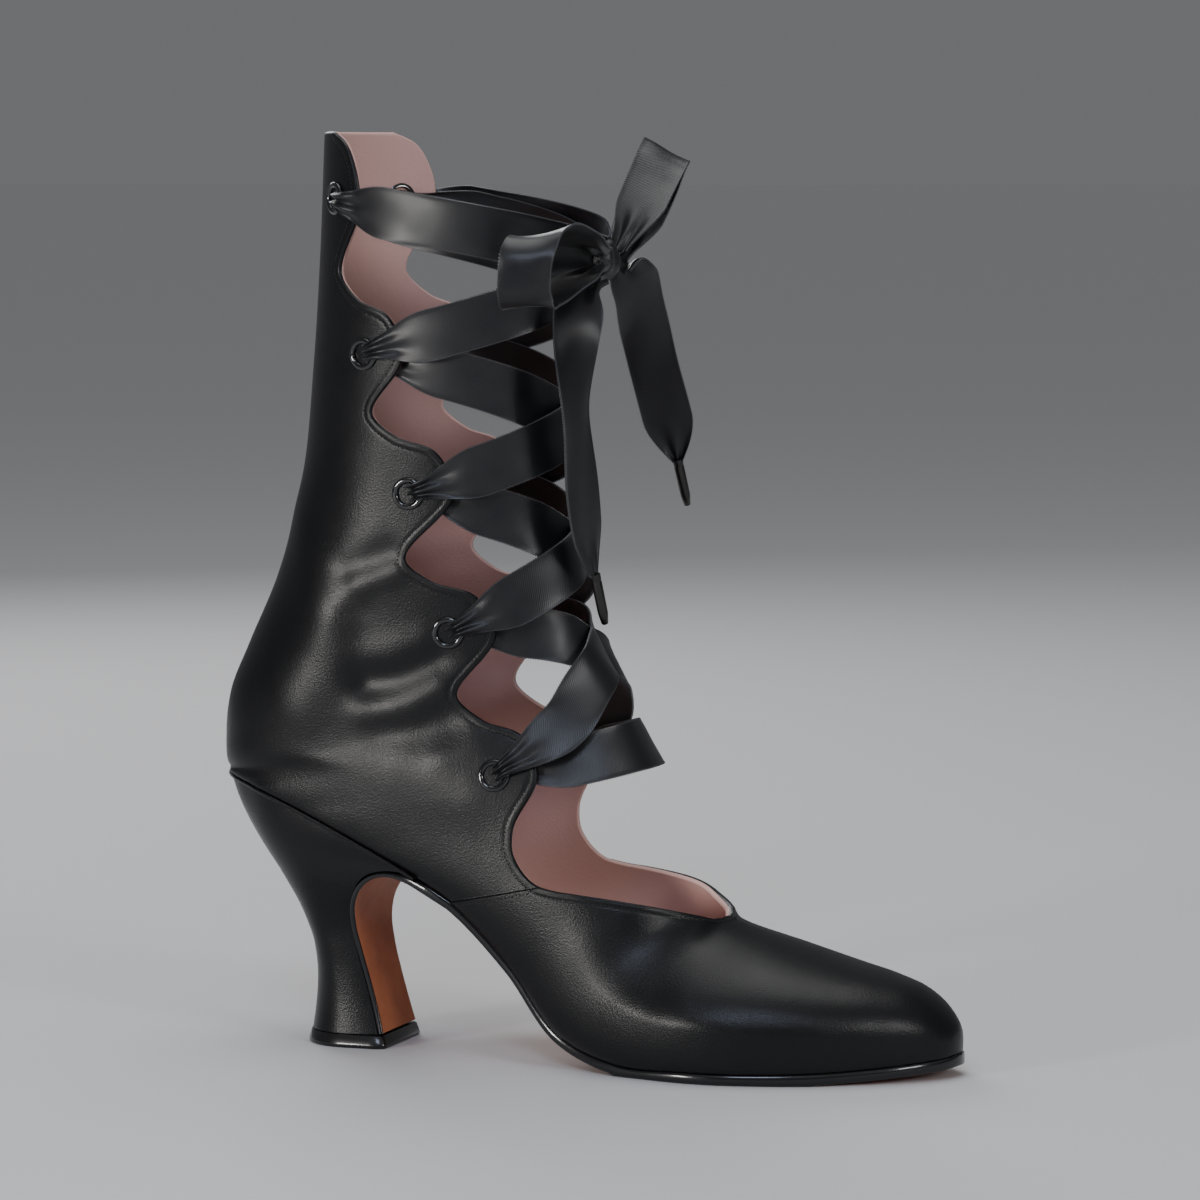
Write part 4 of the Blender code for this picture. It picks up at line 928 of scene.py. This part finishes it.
def ribbonMesh(path, across, widths, folds, seed, curl=ribbonValues["curl"]):
    # a band with two faces; where it is drawn together it lies in folds, and its edges wander a little
    v = ribbonValues
    path = np.asarray(path)
    along = unit(np.gradient(path, axis=0))
    across = unit(across - np.sum(across * along, 1, keepdims=True) * along)
    up = np.cross(along, across)
    length = chord(path)
    s = np.linspace(-0.5, 0.5, v["across"])
    row, far = s[None], length[:, None]
    rng = np.random.default_rng(seed)
    phase, slow = rng.uniform(0, v["phase"]), rng.uniform(*v["slow"])
    opened = ((widths - v["inEyelet"]) / (v["width"] - v["inEyelet"])).clip(0, 1)[:, None]
    rise = folds[:, None] * np.sin(2 * math.pi * v["folds"] * row + phase + v["drift"] * far)
    sway = curl * opened * np.sin(slow * far * 2 + phase + 3 * row) * (2 * row) ** 2
    out = (widths[:, None] * row)[..., None]
    middle = path[:, None] + across[:, None] * out + up[:, None] * (rise + sway)[..., None]
    thick = v["thick"] * (1 + v["rimMore"] * (np.abs(s) > v["rimFrom"])) / 2
    top = middle + up[:, None] * thick[None, :, None]
    low = middle - up[:, None] * thick[None, :, None]
    rings = np.concatenate([top, low[:, ::-1]], 1)
    count = rings.shape[1]
    u = np.concatenate([s, s[::-1]]) * v["width"]
    uv = np.stack([np.repeat(u[None], len(rings), 0), np.repeat(far, count, 1)], 2).reshape(-1, 2)
    band = [(rings.reshape(-1, 3), loftFaces(len(rings), count))]
    uvs = [uv]
    # small beads of thread stand along both edges
    even = np.arange(v["beadStart"], length[-1] - v["beadStop"], v["beadPitch"])
    ahead, aside, above = (alongPath(even, length, way) * size
                           for way, size in zip((along, across, up), v["bead"]))
    for j in (0, -1):
        spot = alongPath(even, length, middle[:, j])
        corners = np.stack([spot + way for way in (ahead, aside, -ahead, -aside, above, -above)], 1)
        beads = [tuple(6 * i + c for c in face) for i in range(len(even)) for k in range(4)
                 for face in ((k, (k + 1) % 4, 4), ((k + 1) % 4, k, 5))]
        band.append((corners.reshape(-1, 3), beads))
        # the beads sit in the band of painted highlight at the ribbon's edge
        uvs.append(np.repeat(np.stack([np.full(len(even), v["width"] / 2), even], 1), 6, 0))
    return *joined(band), np.vstack(uvs)


def ribbonPiece(name, bands, node):
    points, faces = joined([(p, f) for p, f, _ in bands])
    piece = makePiece(name, points, faces, (satin,), smoothAngle=60)
    uv = np.vstack([band[2] for band in bands])
    layer = piece.data.uv_layers.new(name="ribbon")
    corner = np.empty(len(piece.data.loops), np.int32)
    piece.data.loops.foreach_get("vertex_index", corner)
    layer.data.foreach_set("uv", uv[corner].astype(np.float32).ravel())
    settle(piece, "black_satin_ribbon", node)
    return piece


def laceSpot(station, turn):
    # turn is 0 at the front and grows towards the back, below 0 on the medial side
    return station, 1.0 - np.abs(turn), np.where(np.asarray(turn) < 0, -1.0, 1.0)


def lacePoint(station, turn, height):
    return proudPoint(*laceSpot(station, turn), height)


def laceNormal(station, turn):
    return lastNormal(*laceSpot(station, turn))


def eyeletPlace(i, side):
    station, around = findOnLast(*eyelets[i])
    return np.array((float(station), side * (1.0 - float(around))))


# how a ribbon passes an eyelet: distance from its middle and height over the wall
outOfEyelet = ((0.0, -2.6), (0.25, -0.9), (1.1, 0.9), (3.0, 2.25), (5.2, 2.45), (8.0, 1.95))
intoEyelet = ((8.0, -3.8), (5.2, -4.6), (3.0, -4.4), (1.0, -3.1), (0.25, -1.6))


def laceRun(start, end, heightAt, lift, startWay, endWay, seed):
    v = ribbonValues
    last = v["samples"] - 1
    t = np.linspace(0, 1, v["samples"])
    place = start[None] + (end - start)[None] * t[:, None] + np.stack([lift * np.sin(math.pi * t), 0 * t], 1)
    points = lacePoint(place[:, 0], place[:, 1], heightAt(t))
    normals = laceNormal(place[:, 0], place[:, 1])
    length = chord(points)
    way, across, fromEyelet = [], [], []

    def passEyelet(i, table, sign):
        middle = lacePoint(*place[i], np.array(0.0))
        normal = normals[i]
        ahead = points[i + sign * v["aheadSamples"]] - points[i]
        ahead = unit(ahead - np.dot(ahead, normal) * normal)
        for far, height in table:
            way.append(middle + ahead * far + normal * height)
            across.append(np.cross(normal, ahead) * sign)
            fromEyelet.append(far)

    if startWay:
        passEyelet(0, startWay, 1)
    first = v["passage"] if startWay else 0.0
    stop = length[-1] - (v["passage"] if endWay else 0.0)
    for d in np.linspace(first, stop, v["between"]):
        i = int(np.argmin(np.abs(length - d)))
        ahead = unit(points[min(i + 1, last)] - points[max(i - 1, 0)])
        way.append(points[i])
        across.append(np.cross(normals[i], ahead))
        fromEyelet.append(min(d if startWay else v["farOff"], length[-1] - d if endWay else v["farOff"]))
    if endWay:
        passEyelet(last, endWay, -1)
    way, across, fromEyelet = np.array(way), unit(across), np.array(fromEyelet)
    knots = chord(way)
    even = np.linspace(0, knots[-1], v["along"])
    path, side = smoothThrough(knots, way)(even), smoothThrough(knots, across)(even)
    far = np.interp(even, knots, fromEyelet)
    widths = v["inEyelet"] + (v["width"] - v["inEyelet"]) * ease((far - v["opensFrom"]) / v["opens"])
    folds = v["fold"] * (1 - ease((far - v["foldFrom"]) / (v["opens"] * v["foldRun"])))
    return ribbonMesh(path, side, widths, folds, seed)


def buildLacing():
    v = ribbonValues

    def barHeight(t):
        return v["under"] + v["barStand"] * np.sin(math.pi * t) ** 2

    def crossHeight(press):
        # over the wall where it starts, under it where it ends
        def height(t):
            dive = v["over"] + (v["under"] - v["over"]) * ease((t - v["diveFrom"]) / v["diveRun"])
            return dive + press * np.sin(math.pi * t)
        return height

    def topHeight(t):
        step = v["knotStep"] * ease((t - v["knotFrom"]) / v["knotRun"])
        return v["over"] + v["topStand"] * ease(t / v["topRise"]) + step

    bar = laceRun(eyeletPlace(0, -1), eyeletPlace(0, 1), barHeight, v["barLift"], intoEyelet[::-1],
                  intoEyelet, 3)
    ribbonPiece("ribbonBar", [bar], "lace_bar")
    for i in range(len(eyelets) - 1):
        runs = [laceRun(eyeletPlace(i, side), eyeletPlace(i + 1, -side), crossHeight(-side * v["press"]),
                        v["crossLift"][i], outOfEyelet, intoEyelet, 10 * i + side + 5) for side in (-1, 1)]
        ribbonPiece(f"ribbonCross{i + 1}", runs, f"lace_cross_{i + 1}")
    station, _ = findOnLast(knot[0] - knotStand, knot[2])
    front = np.array((float(station), 0.0))
    for name, side in (("medial", -1), ("lateral", 1)):
        start = eyeletPlace(len(eyelets) - 1, side)
        run = laceRun(start, front, topHeight, 0.0, outOfEyelet, None, 60 + side)
        ribbonPiece(f"ribbonTop{name.title()}", [run], f"lace_top_{name}")


buildLacing()

print("bow")
bowValues = dict(gathered=7.0, opens=20.0, tip=2.4, fold=1.0, endFold=0.5, pointLength=17.0,
                 inAglet=9.0, curl=0.6, rows=120)
loopMedial = (
    (127.8, -8.4, 254.6), (126.8, -20.0, 257.4), (125.2, -34.0, 260.0), (123.8, -47.0, 261.2),
    (122.6, -56.0, 259.2), (121.8, -60.2, 254.6), (121.3, -61.0, 248.0), (121.0, -60.0, 242.2),
    (120.9, -56.6, 239.4), (121.4, -51.5, 240.4), (123.0, -36.0, 244.2), (125.4, -20.0, 247.8),
    (127.4, -8.4, 250.2))
loopLateral = (
    (128.2, 5.7, 255.1), (130.4, 9.8, 261.0), (132.2, 16.2, 269.2), (133.4, 24.0, 277.2),
    (134.1, 31.9, 284.0), (133.7, 37.3, 286.6), (132.9, 39.2, 286.2), (131.5, 38.5, 282.5),
    (130.4, 31.7, 274.1), (129.7, 22.4, 264.9), (129.4, 13.5, 257.7), (128.3, 5.7, 251.7))
tailMedial = (
    (125.6, -4.1, 246.1), (123.0, -12.5, 243.6), (123.8, -19.0, 236.0), (124.3, -24.0, 213.2),
    (125.0, -21.5, 191.4), (125.2, -17.5, 174.8), (125.5, -13.5, 162.7), (126.5, -10.5, 152.8))
tailLateral = (
    (128.8, 5.7, 248.6), (128.0, 13.0, 251.3), (128.5, 21.0, 245.2), (127.7, 31.0, 233.3),
    (128.0, 41.0, 217.9), (128.8, 48.5, 205.8), (129.8, 54.5, 194.5), (130.6, 58.5, 185.3))
# the way of the ribbon's width, at even steps from the knot to the end
bowAcross = {
    "loopMedial": ((1.0, 0.0, 0.1), (0.9, 0.3, 0.25), (0.92, 0.36, 0.12), (0.93, 0.37, 0.0), (1.0, 0.0, 0.1)),
    "loopLateral": ((1.0, 0.0, 0.1), (0.84, 0.12, -0.53), (1.0, 0.0, 0.1)),
    "tailMedial": ((0.85, 0.52, 0.0), (0.22, 0.97, 0.0), (0.22, 0.97, 0.0)),
    "tailLateral": ((0.95, 0.3, 0.0), (0.75, 0.3, 0.55), (0.95, 0.3, 0.1), (0.95, 0.3, 0.0),
                    (0.95, 0.3, 0.0))}
agletValues = dict(segments=24, profile=(
    (1.2, -1.6), (1.66, -1.4), (1.68, 0.3), (1.55, 0.8), (1.66, 1.3), (1.62, 11.6), (1.5, 12.4), (1.1, 15.2),
    (0.7, 15.5)))
# ribs and waves: size, number, then the start of the ribs or the twist of a wave
knotValues = dict(sides=40, turns=26, power=0.7, ribs=(0.07, 7, 0.6),
                  waves=((0.05, 2, 1.5), (0.03, 5, -2)), uvRadius=6.5)


def bowBand(name, route, inside, seed):
    # inside is the length at the end that lies in an aglet; a loop has none and ends at the knot
    v = bowValues
    path = smoothPath(route, v["rows"])
    length = chord(path)
    left = np.maximum(length[-1] - inside - length, 0.0)
    widths = v["gathered"] + (ribbonValues["width"] - v["gathered"]) * ease(length / v["opens"])
    if inside:
        widths = v["tip"] + (widths - v["tip"]) * np.sin(math.pi / 2 * np.clip(left / v["pointLength"], 0, 1))
        folds = v["endFold"] * (1 - ease(left / v["pointLength"]))
    else:
        widths = widths + (v["gathered"] - widths) * (1 - ease(left / v["opens"]))
        folds = v["fold"] * (1 - ease(left / v["opens"]))
    folds = folds + v["fold"] * (1 - ease(length / v["opens"]))
    across = np.array(bowAcross[name])
    reached = length / length[-1] * (len(across) - 1)
    turns = np.diff(across, axis=0)
    side = across[0] + sum(turn * ease(reached - k)[:, None] for k, turn in enumerate(turns))
    return ribbonMesh(path, side, widths, folds, seed, v["curl"]), path


def buildKnot():
    v = knotValues
    angles = np.arange(v["sides"]) * 2 * math.pi / v["sides"]
    ribSize, ribs, ribStart = v["ribs"]
    rings = []
    for k in range(1, v["turns"]):
        t = math.pi * k / v["turns"]
        full = math.sin(t) ** v["power"] / 2 * (1 + ribSize * math.cos(ribs * t + ribStart))
        wave = sum((size * np.sin(number * angles + twist * t) for size, number, twist in v["waves"]), 1)
        x = knot[0] + knotSize[0] * full * np.cos(angles) * wave
        y = np.full(v["sides"], knot[1] - knotSize[1] / 2 * math.cos(t))
        z = knot[2] + knotSize[2] * full * np.sin(angles) * wave
        rings.append(np.stack([x, y, z], 1))
    count = len(rings)
    points, faces = np.vstack(rings), loftFaces(count, v["sides"])
    uv = np.stack([points[:, 1] - knot[1], np.tile(angles * v["uvRadius"], count)], 1)
    ribbonPiece("bowKnot", [(points, faces, uv)], "bow_knot")


def buildBow():
    buildKnot()
    for name, route, seed in (("medial", loopMedial, 71), ("lateral", loopLateral, 72)):
        band, path = bowBand(f"loop{name.title()}", route, 0.0, seed)
        piece = ribbonPiece(f"bowLoop{name.title()}", [band], f"bow_loop_{name}")
    inside = bowValues["inAglet"]
    for name, route, seed in (("medial", tailMedial, 73), ("lateral", tailLateral, 74)):
        tip = np.array(route[-1])
        down = unit(tip - smoothPath(route, 40)[-2])
        # the ribbon runs on inside its aglet
        band, path = bowBand(f"tail{name.title()}", route + (tuple(tip + inside * down),), inside, seed)
        piece = ribbonPiece(f"bowTail{name.title()}", [band], f"bow_tail_{name}")
        tube = turned(tip, down, agletValues["profile"], agletValues["segments"], False)
        aglet = makePiece(f"aglet{name.title()}", *tube, (gunmetal,), smoothAngle=50)
        settle(aglet, "gunmetal", f"aglet_{name}")


buildBow()

print("floor, light and camera")
studioValues = dict(
    floorHalf=60.0, floor=(0.55, 0.55, 0.56), floorRoughness=0.8, sky=(0.78, 0.79, 0.82),
    skyStrength=0.2, sun=0.4, sunAngle=1.6, sunTurn=(0.35, 0.25, 0.0))
cameraValues = dict(place=(0.52507, -1.48475, 0.2827), aim=(0.003, 0.0, 0.145), lens=150.0,
                    sensor=36.0)
lamps = (  # name, place, aim, size, watts, colour
    ("key", (-0.74, -1.41, 0.30), (0.0, 0.0, 0.12), 0.24, 14.0, (1.0, 0.98, 0.94)),
    ("front", (0.26, -1.30, 1.15), (0.03, 0.0, 0.1), 0.4, 7.0, (0.68, 0.78, 1.0)),
    ("side", (1.40, -0.80, 0.62), (0.08, 0.0, 0.05), 0.35, 8.0, (1.0, 1.0, 1.0)),
    ("over", (-0.1, 0.2, 1.8), (0.0, 0.0, 0.1), 1.2, 14.0, (1.0, 1.0, 1.0)),
    ("back", (-0.9, 1.1, 0.9), (0.0, 0.0, 0.15), 0.7, 8.0, (1.0, 1.0, 1.0)),
)

half = studioValues["floorHalf"]
floorMesh = bpy.data.meshes.new("floor")
floorCorners = [(-half, -half, 0), (half, -half, 0), (half, half, 0), (-half, half, 0)]
floorMesh.from_pydata(floorCorners, [], [(0, 1, 2, 3)])
floorMesh.materials.append(newMaterial("paleFloor", studioValues["floor"], studioValues["floorRoughness"])[0])
floor = addObject("floor", floorMesh)

world = bpy.data.worlds.new("studio")
world.use_nodes = True
sky = world.node_tree.nodes["Background"].inputs
sky["Color"].default_value = (*studioValues["sky"], 1.0)
sky["Strength"].default_value = studioValues["skyStrength"]
bpy.context.scene.world = world

sun = bpy.data.lights.new("day", "SUN")
sun.energy, sun.angle = studioValues["sun"], studioValues["sunAngle"]
addObject("day", sun).rotation_euler = studioValues["sunTurn"]


def aimed(place, aim):
    return (Vector(aim) - Vector(place)).to_track_quat("-Z", "Y").to_euler()


for name, place, aim, size, watts, colour in lamps:
    lamp = bpy.data.lights.new(name, "AREA")
    lamp.shape, lamp.size, lamp.energy, lamp.color = "SQUARE", size, watts, colour
    stand = addObject(name, lamp)
    stand.location, stand.rotation_euler = place, aimed(place, aim)

lens = bpy.data.cameras.new("photoCamera")
lens.lens, lens.sensor_width = cameraValues["lens"], cameraValues["sensor"]
camera = addObject("photoCamera", lens)
camera.location = cameraValues["place"]
camera.rotation_euler = aimed(cameraValues["place"], cameraValues["aim"])
bpy.context.scene.camera = camera
